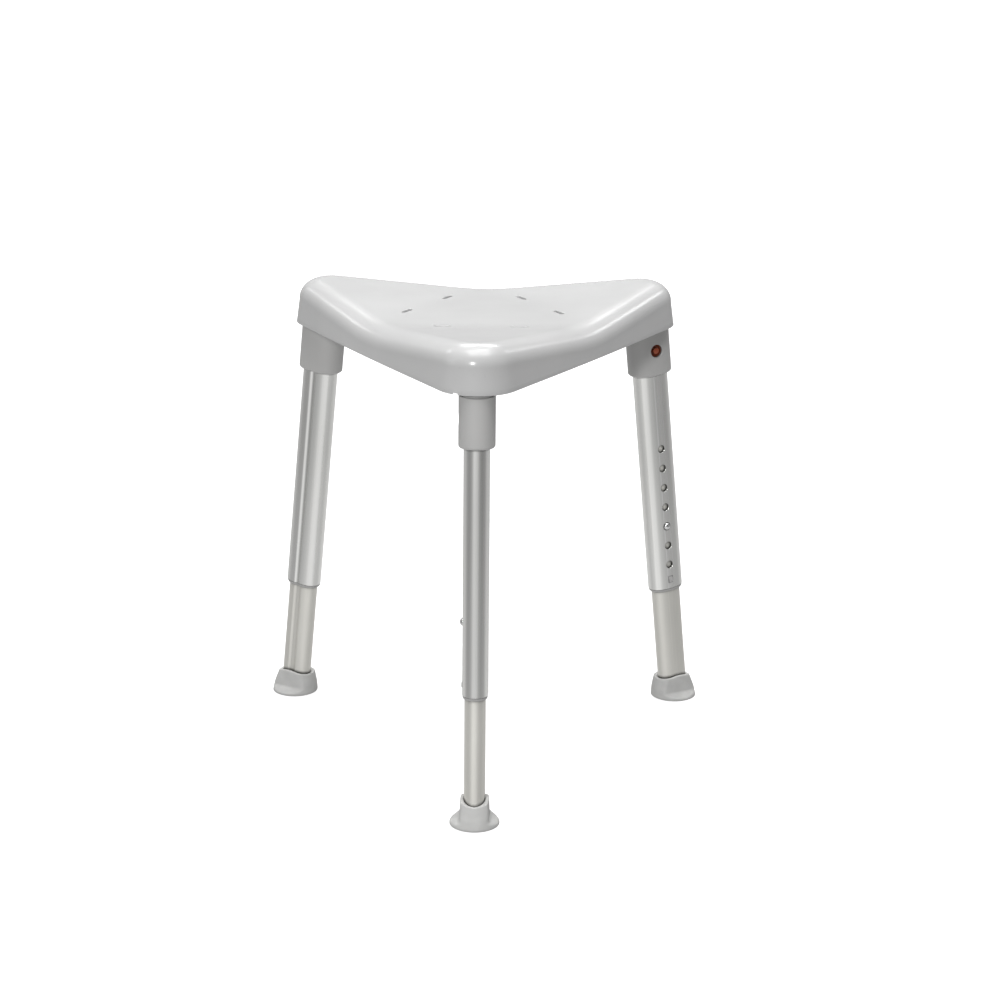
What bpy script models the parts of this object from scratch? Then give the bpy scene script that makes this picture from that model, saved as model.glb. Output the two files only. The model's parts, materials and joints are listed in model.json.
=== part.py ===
"""Shower stool with a moulded triangular seat on three splayed telescopic legs.

Each leg is an oval tube held in a socket under the seat.  An inner leg slides in
the tube and a sprung snap button locks it in one of seven holes, 25 mm apart.
An orange release button in the socket frees the tube from the seat.

Frame: metres, +Z up, floor at z = 0.  The origin is on the floor in the middle
of the footprint, the front leg points to -Y.
"""

import math

import bmesh
import bpy
from mathutils import Matrix, Vector

MM = 0.001
GAP = 0.3 * MM

# Stance: where the leg axes meet the floor, and how far they lean inwards.
FOOT_RADIUS = 274.1 * MM
SPLAY = math.radians(6.16)
LEGS = {"front": -90.0, "right": 30.0, "left": 150.0}
CENTRE_Y = FOOT_RADIUS / 4

# Seat: a rounded triangle with a flat middle and three lobes that rise to the corners.
SEAT_INRADIUS = 149.9 * MM
SEAT_CORNER_RADIUS = 47.8 * MM
SEAT_SIDE_BOW = 2.3 * MM
SEAT_RIM_Z = 482.5 * MM
SEAT_FLAT_Z = 518.3 * MM
SEAT_LOBE_SLOPE = 0.1104
SEAT_CREASE_WIDTH = 20 * MM
SEAT_ROUND_ACROSS = 31.7 * MM
SEAT_ROUND_UP = 24.1 * MM
SEAT_ROUND_POWER = 2.16
SEAT_DRAFT = math.radians(7.5)
SEAT_WALL = 3.5 * MM
# Rings of the top's mesh, as shares of the way from its middle to its edge.
TOP_SHARES = (0.72, 0.47, 0.24, 0.06)
UNDERSIDE_SHARES = (0.62, 0.24, 0.06)
CORNER_STEPS, SIDE_STEPS = 8, 4
ROUND_STEPS_OUTSIDE, ROUND_STEPS_INSIDE = 4, 3
RIB_THICKNESS, RIB_STEPS = 2.6 * MM, 6
RIB_BOTTOM_Z = 500.5 * MM
RIB_RING_RADIUS, RIB_RING_SIDES, RIB_RING_RAISE = 44 * MM, 24, 1 * MM
RIB_CORNER_END, RIB_SIDE_END = 143 * MM, 126 * MM
PAD_RADIUS, PAD_TOP_Z, PAD_SIDES = 12 * MM, 531.0 * MM, 16
SLOT_LENGTH, SLOT_WIDTH, SLOT_SIDES = 20 * MM, 4.6 * MM, 12
SLOT_ALONG, SLOT_ACROSS = 75.7 * MM, 43.8 * MM

# Leg sections: half axes of each oval, u towards the outside and v along the side.
OVAL_POWER, OVAL_POINTS = 2.3, 24
TUBE_U, TUBE_V, TUBE_WALL = 22.0 * MM, 14.5 * MM, 1.5 * MM
LEG_U, LEG_V, LEG_WALL = 18.25 * MM, 11.8 * MM, 1.5 * MM
GROOVE_MOUTH, GROOVE_FLOOR, GROOVE_DEPTH = 11.4 * MM, 4.0 * MM, 2.0 * MM
GROOVE_CENTRE_U = 1.0 * MM

# Heights measured along the leg axis, from the floor.
TUBE_BOTTOM, TUBE_TOP = 147.6 * MM, 498.5 * MM
LEG_BOTTOM, LEG_TOP = 8.5 * MM, 339.0 * MM
PLUG_CAP, PLUG_SPIGOT = 4.3 * MM, 12 * MM
TOP_HOLE, HOLE_PITCH, HOLE_COUNT, HOLE_IN_USE = 328.9 * MM, 25 * MM, 7, 5
HOLE_RADIUS, HOLE_SIDES = 4.8 * MM, 10

# End bushing: a sleeve inside the tube and a short tapered nose below it.
BUSHING_SLEEVE, BUSHING_NOSE = 22 * MM, 3.6 * MM
BUSHING_SHOULDER_INSET, BUSHING_NOSE_WALL = 0.3 * MM, 1.1 * MM
# Its snap tab stands in a window of the tube, under the lowest hole.
TAB_HEIGHT, TAB_WIDTH, TAB_LENGTH = TUBE_BOTTOM + 12 * MM, 5.4 * MM, 8.0 * MM
TAB_PROUD, TAB_GAP = 0.7 * MM, 0.7 * MM

# Snap button: chrome plunger on a leaf spring inside the inner leg.
SNAP_HEIGHT = TOP_HOLE - (HOLE_IN_USE - 1) * HOLE_PITCH
SNAP_RADIUS = 4.3 * MM
# distance out from the tube's side, radius
SNAP_DOME = ((0.0, 4.3), (1.3, 3.87), (2.3, 2.838), (3.0, 1.29))
SNAP_FLANGE_RADIUS, SNAP_FLANGE_TOP, SNAP_FLANGE_THICKNESS = 5.6 * MM, 9.5 * MM, 1.2 * MM
LEAF_THICKNESS, LEAF_WIDTH = 0.8 * MM, 9 * MM
# depth from the near face or, in the second half, from the far face; distance along the leg
LEAF_NEAR_PATH = ((0, 5), (0, -6), (-3, -32), (-8, -40))
LEAF_FAR_PATH = ((4, -40), (0, -32), (0, 2))

# Release button: orange plunger on a coil spring in a carrier at the tube's top.
RELEASE_HEIGHT = 454 * MM
RELEASE_RADIUS, RELEASE_TIP_RADIUS, RELEASE_TIP = 7.2 * MM, 3.6 * MM, 19.6 * MM
RELEASE_EDGE, RELEASE_EDGE_BEVEL, RELEASE_EDGE_RADIUS = 18.6 * MM, 0.6 * MM, 6.768 * MM
RELEASE_FLANGE_RADIUS, RELEASE_FLANGE_TOP, RELEASE_FLANGE_THICKNESS = 8.7 * MM, 11.7 * MM, 1.5 * MM
RELEASE_BORE_RADIUS, RELEASE_BORE_END = 9.0 * MM, 5.0 * MM
CARRIER_BOTTOM = 444 * MM
COIL_RADIUS, COIL_WIRE, COIL_TURNS, COIL_STEPS = 5.0 * MM, 0.6 * MM, 4, 8
COIL_SECTION = ((1, 0), (-0.5, 0.87), (-0.5, -0.87))

# Socket: collar below the rim, narrower neck above it, flange screwed to the seat.
COLLAR_U, COLLAR_V, COLLAR_ROUND = 27.0 * MM, 20.25 * MM, 3.0 * MM
COLLAR_BOTTOM = 423.0 * MM
NECK_U, NECK_V, NECK_TOP = 24.9 * MM, 17.6 * MM, 503.5 * MM
SOCKET_CLEARANCE = 0.4 * MM
RELEASE_HOLE_RADIUS = 7.8 * MM
FLANGE_TOP_Z, FLANGE_THICKNESS = 500.0 * MM, 4.0 * MM
FLANGE_INNER, FLANGE_OUTER, FLANGE_HALF_WIDTH = 152 * MM, 196.8 * MM, 25 * MM
SCREW_RADIUS_AT, SCREW_ACROSS = 166 * MM, 15.5 * MM
SCREW_SHANK, SCREW_TIP, SCREW_LENGTH, SCREW_SIDES = 2.1 * MM, 1.26 * MM, 16 * MM, 8
SCREW_HEAD, SCREW_HEAD_FACE, SCREW_HEAD_HEIGHT = 4.6 * MM, 3.68 * MM, 2.8 * MM
BOSS_RADIUS, BOSS_SIDES = 5.5 * MM, 10
DRILL_DEPTH = 9 * MM

# Foot: a rubber boot with a round sole that stays level while the leg leans.
FOOT_POINTS, FOOT_WELL_DEPTH = 24, 40 * MM
FOOT_LEVEL_PART = 3.2 * MM
# height, half length along u, half width along v, in millimetres
FOOT_SHAPE = (
    (0.0, 27.5, 27.5),
    (3.2, 27.5, 27.5),
    (6.0, 27.1, 21.5),
    (9.5, 26.6, 17.8),
    (15.0, 25.5, 16.8),
    (27.5, 22.2, 15.9),
    (30.5, 20.8, 14.8),
)

ROUND_STEPS = 12
# How far a side cutter reaches past the wall that it goes through.
CUTTER_REACH = 1.3

COLOURS = {
    "seat_plastic": ((0.74, 0.74, 0.73), 0.45, 0.0),
    "socket_plastic": ((0.36, 0.36, 0.35), 0.5, 0.0),
    "tube_aluminium": ((0.68, 0.68, 0.66), 0.35, 1.0),
    "leg_aluminium": ((0.55, 0.53, 0.50), 0.55, 1.0),
    "bushing_plastic": ((0.42, 0.41, 0.40), 0.5, 0.0),
    "foot_rubber": ((0.40, 0.39, 0.38), 0.7, 0.0),
    "release_orange": ((0.52, 0.08, 0.02), 0.4, 0.0),
    "snap_chrome": ((0.80, 0.80, 0.80), 0.12, 1.0),
    "spring_steel": ((0.55, 0.55, 0.56), 0.3, 1.0),
    "screw_steel": ((0.60, 0.60, 0.60), 0.3, 1.0),
}


def make_materials():
    """One Principled material for each finish."""
    made = {}
    for name, (colour, roughness, metallic) in COLOURS.items():
        material = bpy.data.materials.new(name)
        material.use_nodes = True
        shader = material.node_tree.nodes["Principled BSDF"]
        shader.inputs["Base Color"].default_value = (*colour, 1.0)
        shader.inputs["Roughness"].default_value = roughness
        shader.inputs["Metallic"].default_value = metallic
        made[name] = material
    return made


# ---------------------------------------------------------------- mesh helpers


def mesh_of(name, points, faces):
    """A closed mesh facing out, smooth except at its real edges."""
    mesh = bpy.data.meshes.new(name)
    mesh.from_pydata(points, [], faces)
    work = bmesh.new()
    work.from_mesh(mesh)
    bmesh.ops.recalc_face_normals(work, faces=work.faces)
    work.to_mesh(mesh)
    work.free()
    mesh.shade_smooth()
    mesh.set_sharp_from_angle(angle=math.radians(35))
    return mesh


def loft(name, rings, closed=False):
    """Skin over rings of equal length.  A closed loft meets itself, an open one is capped."""
    count = len(rings[0])
    points = [tuple(point) for ring in rings for point in ring]
    faces = []
    pairs = len(rings) if closed else len(rings) - 1
    for i in range(pairs):
        low = i * count
        high = (i + 1) % len(rings) * count
        for j in range(count):
            k = (j + 1) % count
            faces.append((low + j, low + k, high + k, high + j))
    if not closed:
        faces.append(tuple(range(count)))
        faces.append(tuple(range(len(points) - count, len(points))))
    return mesh_of(name, points, faces)


def prisms(pairs):
    """Points and faces of several prisms, each between two rings."""
    points, faces = [], []
    for low, high in pairs:
        start, count = len(points), len(low)
        points += low + high
        for i in range(count):
            j = (i + 1) % count
            faces.append((start + i, start + j, start + count + j, start + count + i))
        faces.append(tuple(range(start, start + count)))
        faces.append(tuple(range(start + count, start + 2 * count)))
    return points, faces


def circle(radius, height, count=ROUND_STEPS):
    turn = 2 * math.pi / count
    return [(radius * math.cos(turn * i), radius * math.sin(turn * i), height) for i in range(count)]


def turned(name, profile, count=ROUND_STEPS):
    """Solid of revolution about local Z from (radius, height) pairs, bottom to top."""
    return loft(name, [circle(radius, height, count) for radius, height in profile])


def box_rings(low, high):
    """The two rings of a plain block between two corners."""
    outline = [(low[0], low[1]), (high[0], low[1]), (high[0], high[1]), (low[0], high[1])]
    return [at(outline, low[2]), at(outline, high[2])]


def oval(half_u, half_v, count=OVAL_POINTS, power=OVAL_POWER):
    """Flattened oval as (u, v) points, anticlockwise from +u."""
    points = []
    for i in range(count):
        angle = 2 * math.pi * (i + 0.5) / count
        c, s = math.cos(angle), math.sin(angle)
        u = math.copysign(half_u * abs(c) ** (2 / power), c)
        v = math.copysign(half_v * abs(s) ** (2 / power), s)
        points.append((u, v))
    return points


def grooved(half_u, half_v, grow=0.0):
    """The oval with a guide groove along its +v side, widened by grow on each flank."""
    mouth = GROOVE_MOUTH / 2 + grow
    floor = GROOVE_FLOOR / 2 + grow
    edges = [GROOVE_CENTRE_U + mouth, GROOVE_CENTRE_U - mouth]
    rims = [(u, half_v * (1 - abs(u / half_u) ** OVAL_POWER) ** (1 / OVAL_POWER)) for u in edges]
    floor_v = half_v - GROOVE_DEPTH
    groove = [rims[0], (GROOVE_CENTRE_U + floor, floor_v), (GROOVE_CENTRE_U - floor, floor_v), rims[1]]
    points = oval(half_u, half_v)
    first, last = OVAL_POINTS // 4 - 2, OVAL_POINTS // 4 + 2
    return points[:first] + groove + points[last:]


def at(points, height):
    return [(u, v, height) for u, v in points]


def level(points, z):
    """Ring of leg-frame points where the leg's section meets the horizontal plane at z."""
    return [(u, v, (z - u * math.sin(SPLAY)) / math.cos(SPLAY)) for u, v in points]


# --------------------------------------------------------------- object helpers


def add(name, mesh, material, parent=None, matrix=None):
    """One named sub-part."""
    obj = bpy.data.objects.new(name, mesh)
    bpy.context.scene.collection.objects.link(obj)
    if material is not None and not mesh.materials:
        mesh.materials.append(material)
    obj.parent = parent
    if matrix is not None:
        obj.matrix_local = matrix
    return obj


def add_empty(name, matrix, parent=None):
    empty = bpy.data.objects.new(name, None)
    empty.empty_display_size = 0.03
    bpy.context.scene.collection.objects.link(empty)
    empty.parent = parent
    empty.matrix_local = matrix
    return empty


def add_guide(name, mesh, parent=None, matrix=None):
    """A tool for a Boolean, which is not a sub-part."""
    guide = add(name, mesh, None, parent, matrix)
    guide.hide_render = True
    guide.display_type = "WIRE"
    return guide


def boolean(obj, guide, operation="DIFFERENCE"):
    modifier = obj.modifiers.new(guide.name, "BOOLEAN")
    modifier.operation = operation
    modifier.solver = "EXACT"
    modifier.object = guide


# ------------------------------------------------------------------------ seat


def corner_direction(degrees):
    return Vector((math.cos(math.radians(degrees)), math.sin(math.radians(degrees))))


CORNERS = [corner_direction(angle) for angle in LEGS.values()]


def seat_outline(inset):
    """Rounded triangle about the seat's own axis, inset from the rim's outer edge."""
    radius = SEAT_CORNER_RADIUS - inset
    reach = 2 * (SEAT_INRADIUS - SEAT_CORNER_RADIUS)
    points = []
    for start in LEGS.values():
        centre = corner_direction(start) * reach
        following = corner_direction(start + 120) * reach
        for i in range(CORNER_STEPS + 1):
            angle = start - 60 + 120 * i / CORNER_STEPS
            points.append(centre + corner_direction(angle) * radius)
        outward = corner_direction(start + 60)
        begin = centre + outward * radius
        finish = following + outward * radius
        for i in range(1, SIDE_STEPS):
            share = i / SIDE_STEPS
            bow = SEAT_SIDE_BOW * 4 * share * (1 - share)
            points.append(begin.lerp(finish, share) + outward * bow)
    return points


def seat_height(point, drop=0.0):
    """Top surface: flat in the middle, then a smooth crease and a slope to each corner."""
    height = SEAT_FLAT_Z - drop
    for corner in CORNERS:
        past = point.dot(corner) - SEAT_INRADIUS / 2
        if past > SEAT_CREASE_WIDTH:
            height += SEAT_LOBE_SLOPE * past
        elif past > -SEAT_CREASE_WIDTH:
            height += SEAT_LOBE_SLOPE * (past + SEAT_CREASE_WIDTH) ** 2 / (4 * SEAT_CREASE_WIDTH)
    return height


def seat_skin(drop, round_steps, shares):
    """Rings of one skin from the rim up over the shoulder and in to the middle."""
    rim = seat_outline(drop)
    shoulder = seat_outline(SEAT_ROUND_ACROSS + drop)
    tops = [seat_height(point, drop) for point in shoulder]
    rings = [[(point.x, point.y, SEAT_RIM_Z) for point in rim]]
    for step in range(round_steps + 1):
        angle = math.pi / 2 * step / round_steps
        across = 1 - math.cos(angle) ** (2 / SEAT_ROUND_POWER)
        up = math.sin(angle) ** (2 / SEAT_ROUND_POWER)
        ring = []
        for low, high, top in zip(rim, shoulder, tops):
            wall = top - SEAT_ROUND_UP - SEAT_RIM_Z
            lean = wall * math.tan(SEAT_DRAFT) / SEAT_ROUND_ACROSS
            point = low.lerp(high, lean + (1 - lean) * across)
            ring.append((point.x, point.y, SEAT_RIM_Z + wall + SEAT_ROUND_UP * up))
        rings.append(ring)
    for share in shares:
        ring = [point * share for point in shoulder]
        rings.append([(point.x, point.y, seat_height(point, drop)) for point in ring])
    return rings


def seat_rib(name, degrees, start, finish):
    """Upright rib that follows the underside of the seat along one direction."""
    direction = corner_direction(degrees)
    side = Vector((-direction.y, direction.x)) * RIB_THICKNESS / 2
    rings = []
    for i in range(RIB_STEPS + 1):
        point = direction * (start + (finish - start) * i / RIB_STEPS)
        top = seat_height(point) - SEAT_WALL / 2
        left, right = point + side, point - side
        rings.append([
            (left.x, left.y, RIB_BOTTOM_Z), (right.x, right.y, RIB_BOTTOM_Z),
            (right.x, right.y, top), (left.x, left.y, top),
        ])
    return add_guide(name, loft(name, rings))


def slot_outline(along, side):
    """Outline of one drain slot, which is long across the lobe."""
    across = Vector((-along.y, along.x))
    centre = along * SLOT_ALONG + across * SLOT_ACROSS * side
    outline = []
    for i in range(SLOT_SIDES):
        angle = 2 * math.pi * (i + 0.5) / SLOT_SIDES
        reach = math.copysign((SLOT_LENGTH - SLOT_WIDTH) / 2, math.cos(angle))
        spot = centre + across * (SLOT_WIDTH / 2 * math.cos(angle) + reach)
        outline.append(spot + along * (SLOT_WIDTH / 2 * math.sin(angle)))
    return outline


def seat_slots():
    """Six drain slots, two on each crease, as one cutter."""
    pairs = []
    for corner in CORNERS:
        for side in (-1, 1):
            outline = slot_outline(corner, side)
            pairs.append([at(outline, SEAT_RIM_Z), at(outline, SEAT_FLAT_Z + SEAT_WALL * 3)])
    return add_guide("slot_cutter", mesh_of("slot_cutter", *prisms(pairs)))


def screw_spots(degrees):
    """Where the two flange screws of one socket stand, about the seat's axis."""
    along = corner_direction(degrees)
    across = Vector((-along.y, along.x))
    return [along * SCREW_RADIUS_AT + across * SCREW_ACROSS * side for side in (-1, 1)]


def build_seat(materials, stool, leg_frames):
    """Moulded shell with ribs, screw bosses and a bearing pad over each socket."""
    outer = seat_skin(0.0, ROUND_STEPS_OUTSIDE, TOP_SHARES)
    inner = seat_skin(SEAT_WALL, ROUND_STEPS_INSIDE, UNDERSIDE_SHARES)
    shell = add("seat_shell", loft("seat_shell", inner[::-1] + outer), materials["seat_plastic"], stool)
    shell.modifiers.new("flat_faces", "TRIANGULATE")
    for degrees in LEGS.values():
        for angle, finish in ((degrees, RIB_CORNER_END), (degrees + 60, RIB_SIDE_END)):
            rib = seat_rib(f"rib_{angle:.0f}", angle, RIB_RING_RADIUS, finish)
            rib.parent = stool
            boolean(shell, rib, "UNION")
    inside, outside = RIB_RING_RADIUS - RIB_THICKNESS / 2, RIB_RING_RADIUS + RIB_THICKNESS / 2
    low, high = RIB_BOTTOM_Z + RIB_RING_RAISE, SEAT_FLAT_Z - SEAT_WALL / 2
    ring = loft("ring_rib", [
        circle(radius, height, RIB_RING_SIDES)
        for radius, height in ((inside, low), (outside, low), (outside, high), (inside, high))
    ], closed=True)
    half_side = Matrix.Rotation(math.pi / RIB_RING_SIDES, 4, "Z")
    boolean(shell, add_guide("ring_rib", ring, stool, half_side), "UNION")
    for leg, degrees in LEGS.items():
        for side, spot in enumerate(screw_spots(degrees)):
            top = seat_height(spot) - SEAT_WALL / 2
            boss = turned("boss", [(BOSS_RADIUS, FLANGE_TOP_Z + GAP), (BOSS_RADIUS, top)], BOSS_SIDES)
            place = Matrix.Translation((spot.x, spot.y, 0))
            boolean(shell, add_guide(f"{leg}_boss_{side}", boss, stool, place), "UNION")
            tip = FLANGE_TOP_Z - FLANGE_THICKNESS + SCREW_LENGTH + 2 * GAP
            bore = SCREW_SHANK + GAP
            pilot = turned("pilot", [(bore, RIB_BOTTOM_Z - SEAT_WALL), (bore, tip)], SCREW_SIDES)
            boolean(shell, add_guide(f"{leg}_pilot_{side}", pilot, stool, place))
        pad_outline = oval(PAD_RADIUS, PAD_RADIUS, PAD_SIDES)
        pad = loft("pad", [at(pad_outline, NECK_TOP + GAP), level(pad_outline, PAD_TOP_Z)])
        boolean(shell, add_guide(f"{leg}_pad", pad, leg_frames[leg]), "UNION")
    slots = seat_slots()
    slots.parent = stool
    boolean(shell, slots)


# ------------------------------------------------------------------------ legs


def leg_matrix(degrees):
    """Leg frame in the stool's frame: X outwards, Y to the groove side, Z up the leg."""
    turn = Matrix.Rotation(math.radians(degrees), 4, "Z")
    foot = Matrix.Translation((FOOT_RADIUS, 0, 0))
    lean = Matrix.Rotation(-SPLAY, 4, "Y")
    return turn @ foot @ lean


def side_matrix(height):
    """Frame of a button: origin on the leg axis, Z out through the hole side."""
    return Matrix.Translation((0, 0, height)) @ Matrix.Rotation(math.radians(90), 4, "X")


def hole_heights():
    return [TOP_HOLE - HOLE_PITCH * i for i in range(HOLE_COUNT)]


def hole_cutter(name, parent, heights, radius, surface):
    """Round holes out through the -v side, whose surface is this far from the leg's axis."""
    to_corners = radius / math.cos(math.pi / HOLE_SIDES)
    pairs = []
    for height in heights:
        ring = [(x, height + y) for x, y, _ in circle(to_corners, 0, HOLE_SIDES)]
        pairs.append([[(x, -v, z) for x, z in ring] for v in (LEG_V / 2, surface * CUTTER_REACH)])
    return add_guide(name, mesh_of(name, *prisms(pairs)), parent)


def build_socket(leg, degrees, materials, frame, stool):
    """Collar under the rim, neck inside the seat, and the flange with its two screws."""
    hollow = oval(TUBE_U + SOCKET_CLEARANCE, TUBE_V + SOCKET_CLEARANCE)
    collar = oval(COLLAR_U, COLLAR_V)
    lip = oval(COLLAR_U - COLLAR_ROUND, COLLAR_V - COLLAR_ROUND)
    neck = oval(NECK_U, NECK_V)
    shoulder_z = SEAT_RIM_Z - GAP
    mesh = loft(f"{leg}_socket", [
        at(hollow, TUBE_TOP + GAP),
        at(hollow, COLLAR_BOTTOM),
        at(lip, COLLAR_BOTTOM),
        at(collar, COLLAR_BOTTOM + COLLAR_ROUND),
        level(collar, shoulder_z),
        level(neck, shoulder_z),
        at(neck, NECK_TOP),
    ])
    socket = add(f"{leg}_socket", mesh, materials["socket_plastic"], frame)
    plate = loft("flange", box_rings(
        (FLANGE_INNER, -FLANGE_HALF_WIDTH, FLANGE_TOP_Z - FLANGE_THICKNESS),
        (FLANGE_OUTER, FLANGE_HALF_WIDTH, FLANGE_TOP_Z),
    ))
    turn = Matrix.Rotation(math.radians(degrees), 4, "Z")
    boolean(socket, add_guide(f"{leg}_flange", plate, stool, turn), "UNION")
    hole = hole_cutter(f"{leg}_release_hole", frame, [RELEASE_HEIGHT], RELEASE_HOLE_RADIUS, COLLAR_V)
    boolean(socket, hole)
    bore = SCREW_SHANK + GAP
    seat_of_head = FLANGE_TOP_Z - FLANGE_THICKNESS - GAP
    for label, spot in zip("ab", screw_spots(degrees)):
        place = Matrix.Translation((spot.x, spot.y, 0))
        drill = turned("drill", [(bore, RIB_BOTTOM_Z - DRILL_DEPTH), (bore, RIB_BOTTOM_Z)], SCREW_SIDES)
        boolean(socket, add_guide(f"{leg}_drill_{label}", drill, stool, place))
        screw = turned("flange_screw", [
            (SCREW_HEAD_FACE, seat_of_head - SCREW_HEAD_HEIGHT),
            (SCREW_HEAD, seat_of_head),
            (SCREW_SHANK, seat_of_head),
            (SCREW_TIP, seat_of_head + SCREW_LENGTH),
        ], SCREW_SIDES)
        add(f"{leg}_screw_{label}", screw, materials["screw_steel"], stool, place)


def tab_block(name, parent, grow, reach):
    """Upright block out through the -v wall: the bushing's snap tab, or its window in the tube."""
    wide, tall = TAB_WIDTH / 2 + grow, TAB_LENGTH / 2 + grow
    low, high = (-wide, -reach, TAB_HEIGHT - tall), (wide, -(LEG_V + 2 * GAP), TAB_HEIGHT + tall)
    return add_guide(name, loft(name, box_rings(low, high)), parent)


def build_tube(leg, materials, frame):
    """Outer tube with its seven holes, and the plastic parts fixed in its ends."""
    outside = grooved(TUBE_U, TUBE_V)
    inside = grooved(TUBE_U - TUBE_WALL, TUBE_V - TUBE_WALL, TUBE_WALL / 2)
    mesh = loft(f"{leg}_outer_tube", [
        at(outside, TUBE_BOTTOM), at(outside, TUBE_TOP), at(inside, TUBE_TOP), at(inside, TUBE_BOTTOM),
    ], closed=True)
    tube = add(f"{leg}_outer_tube", mesh, materials["tube_aluminium"], frame)
    boolean(tube, hole_cutter(f"{leg}_tube_holes", frame, hole_heights(), HOLE_RADIUS, TUBE_V))
    boolean(tube, hole_cutter(f"{leg}_tube_release", frame, [RELEASE_HEIGHT], RELEASE_RADIUS + GAP, TUBE_V))
    boolean(tube, tab_block(f"{leg}_tab_window", frame, TAB_GAP, TUBE_V * CUTTER_REACH))

    fit_u, fit_v = TUBE_U - TUBE_WALL - GAP, TUBE_V - TUBE_WALL - GAP
    sleeve = grooved(fit_u, fit_v, TUBE_WALL / 2 + GAP)
    bore = grooved(LEG_U + GAP, LEG_V + GAP, TUBE_WALL + GAP)
    shoulder = grooved(TUBE_U - BUSHING_SHOULDER_INSET, TUBE_V - BUSHING_SHOULDER_INSET)
    nose = grooved(LEG_U + BUSHING_NOSE_WALL, LEG_V + BUSHING_NOSE_WALL, GAP)
    top, low = TUBE_BOTTOM + BUSHING_SLEEVE, TUBE_BOTTOM - BUSHING_NOSE
    bushing = loft(f"{leg}_end_bushing", [
        at(sleeve, top), at(sleeve, TUBE_BOTTOM - GAP), at(shoulder, TUBE_BOTTOM - GAP),
        at(nose, low), at(bore, low), at(bore, top),
    ], closed=True)
    bushing = add(f"{leg}_end_bushing", bushing, materials["bushing_plastic"], frame)
    boolean(bushing, tab_block(f"{leg}_snap_tab", frame, 0.0, TUBE_V + TAB_PROUD), "UNION")

    carrier = loft(f"{leg}_top_carrier", [at(sleeve, CARRIER_BOTTOM), at(sleeve, TUBE_TOP)])
    carrier = add(f"{leg}_top_carrier", carrier, materials["bushing_plastic"], frame)
    pocket = turned("pocket", [(RELEASE_BORE_RADIUS, -RELEASE_BORE_END), (RELEASE_BORE_RADIUS, TUBE_V)])
    boolean(carrier, add_guide(f"{leg}_pocket", pocket, frame, side_matrix(RELEASE_HEIGHT)))


def build_release(leg, materials, frame):
    """Orange release button and the coil spring behind it."""
    bottom = RELEASE_FLANGE_TOP - RELEASE_FLANGE_THICKNESS
    button = turned(f"{leg}_release_button", [
        (RELEASE_FLANGE_RADIUS, bottom), (RELEASE_FLANGE_RADIUS, RELEASE_FLANGE_TOP),
        (RELEASE_RADIUS, RELEASE_FLANGE_TOP), (RELEASE_RADIUS, RELEASE_EDGE - RELEASE_EDGE_BEVEL),
        (RELEASE_EDGE_RADIUS, RELEASE_EDGE), (RELEASE_TIP_RADIUS, RELEASE_TIP),
    ])
    place = side_matrix(RELEASE_HEIGHT)
    add(f"{leg}_release_button", button, materials["release_orange"], frame, place)
    steps = COIL_STEPS * COIL_TURNS
    start = -RELEASE_BORE_END + COIL_WIRE + GAP
    rise = bottom - GAP - COIL_WIRE - start
    rings = []
    for i in range(steps + 1):
        angle = 2 * math.pi * i / COIL_STEPS
        out = Vector((math.cos(angle), math.sin(angle), 0))
        centre = out * COIL_RADIUS + Vector((0, 0, start + rise * i / steps))
        rings.append([centre + out * a * COIL_WIRE + Vector((0, 0, b * COIL_WIRE)) for a, b in COIL_SECTION])
    spring = loft(f"{leg}_release_spring", rings)
    add(f"{leg}_release_spring", spring, materials["spring_steel"], frame, place)


def build_inner_leg(leg, materials, slide):
    """Sliding inner leg with the guide plug in its top."""
    outside = grooved(LEG_U, LEG_V, TUBE_WALL)
    inside = grooved(LEG_U - LEG_WALL, LEG_V - LEG_WALL, TUBE_WALL + LEG_WALL / 2)
    mesh = loft(f"{leg}_inner_leg", [
        at(outside, LEG_BOTTOM), at(outside, LEG_TOP), at(inside, LEG_TOP), at(inside, LEG_BOTTOM),
    ], closed=True)
    inner = add(f"{leg}_inner_leg", mesh, materials["leg_aluminium"], slide)
    boolean(inner, hole_cutter(f"{leg}_leg_hole", slide, [SNAP_HEIGHT], SNAP_RADIUS + GAP, TUBE_V))

    cap = grooved(TUBE_U - TUBE_WALL - GAP, TUBE_V - TUBE_WALL - GAP, TUBE_WALL / 2 + GAP)
    spigot = grooved(LEG_U - LEG_WALL - GAP, LEG_V - LEG_WALL - GAP, TUBE_WALL + LEG_WALL / 2 + GAP)
    plug = loft(f"{leg}_guide_plug", [
        at(spigot, LEG_TOP - PLUG_SPIGOT), at(spigot, LEG_TOP + GAP),
        at(cap, LEG_TOP + GAP), at(cap, LEG_TOP + PLUG_CAP),
    ])
    add(f"{leg}_guide_plug", plug, materials["bushing_plastic"], slide)


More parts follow.
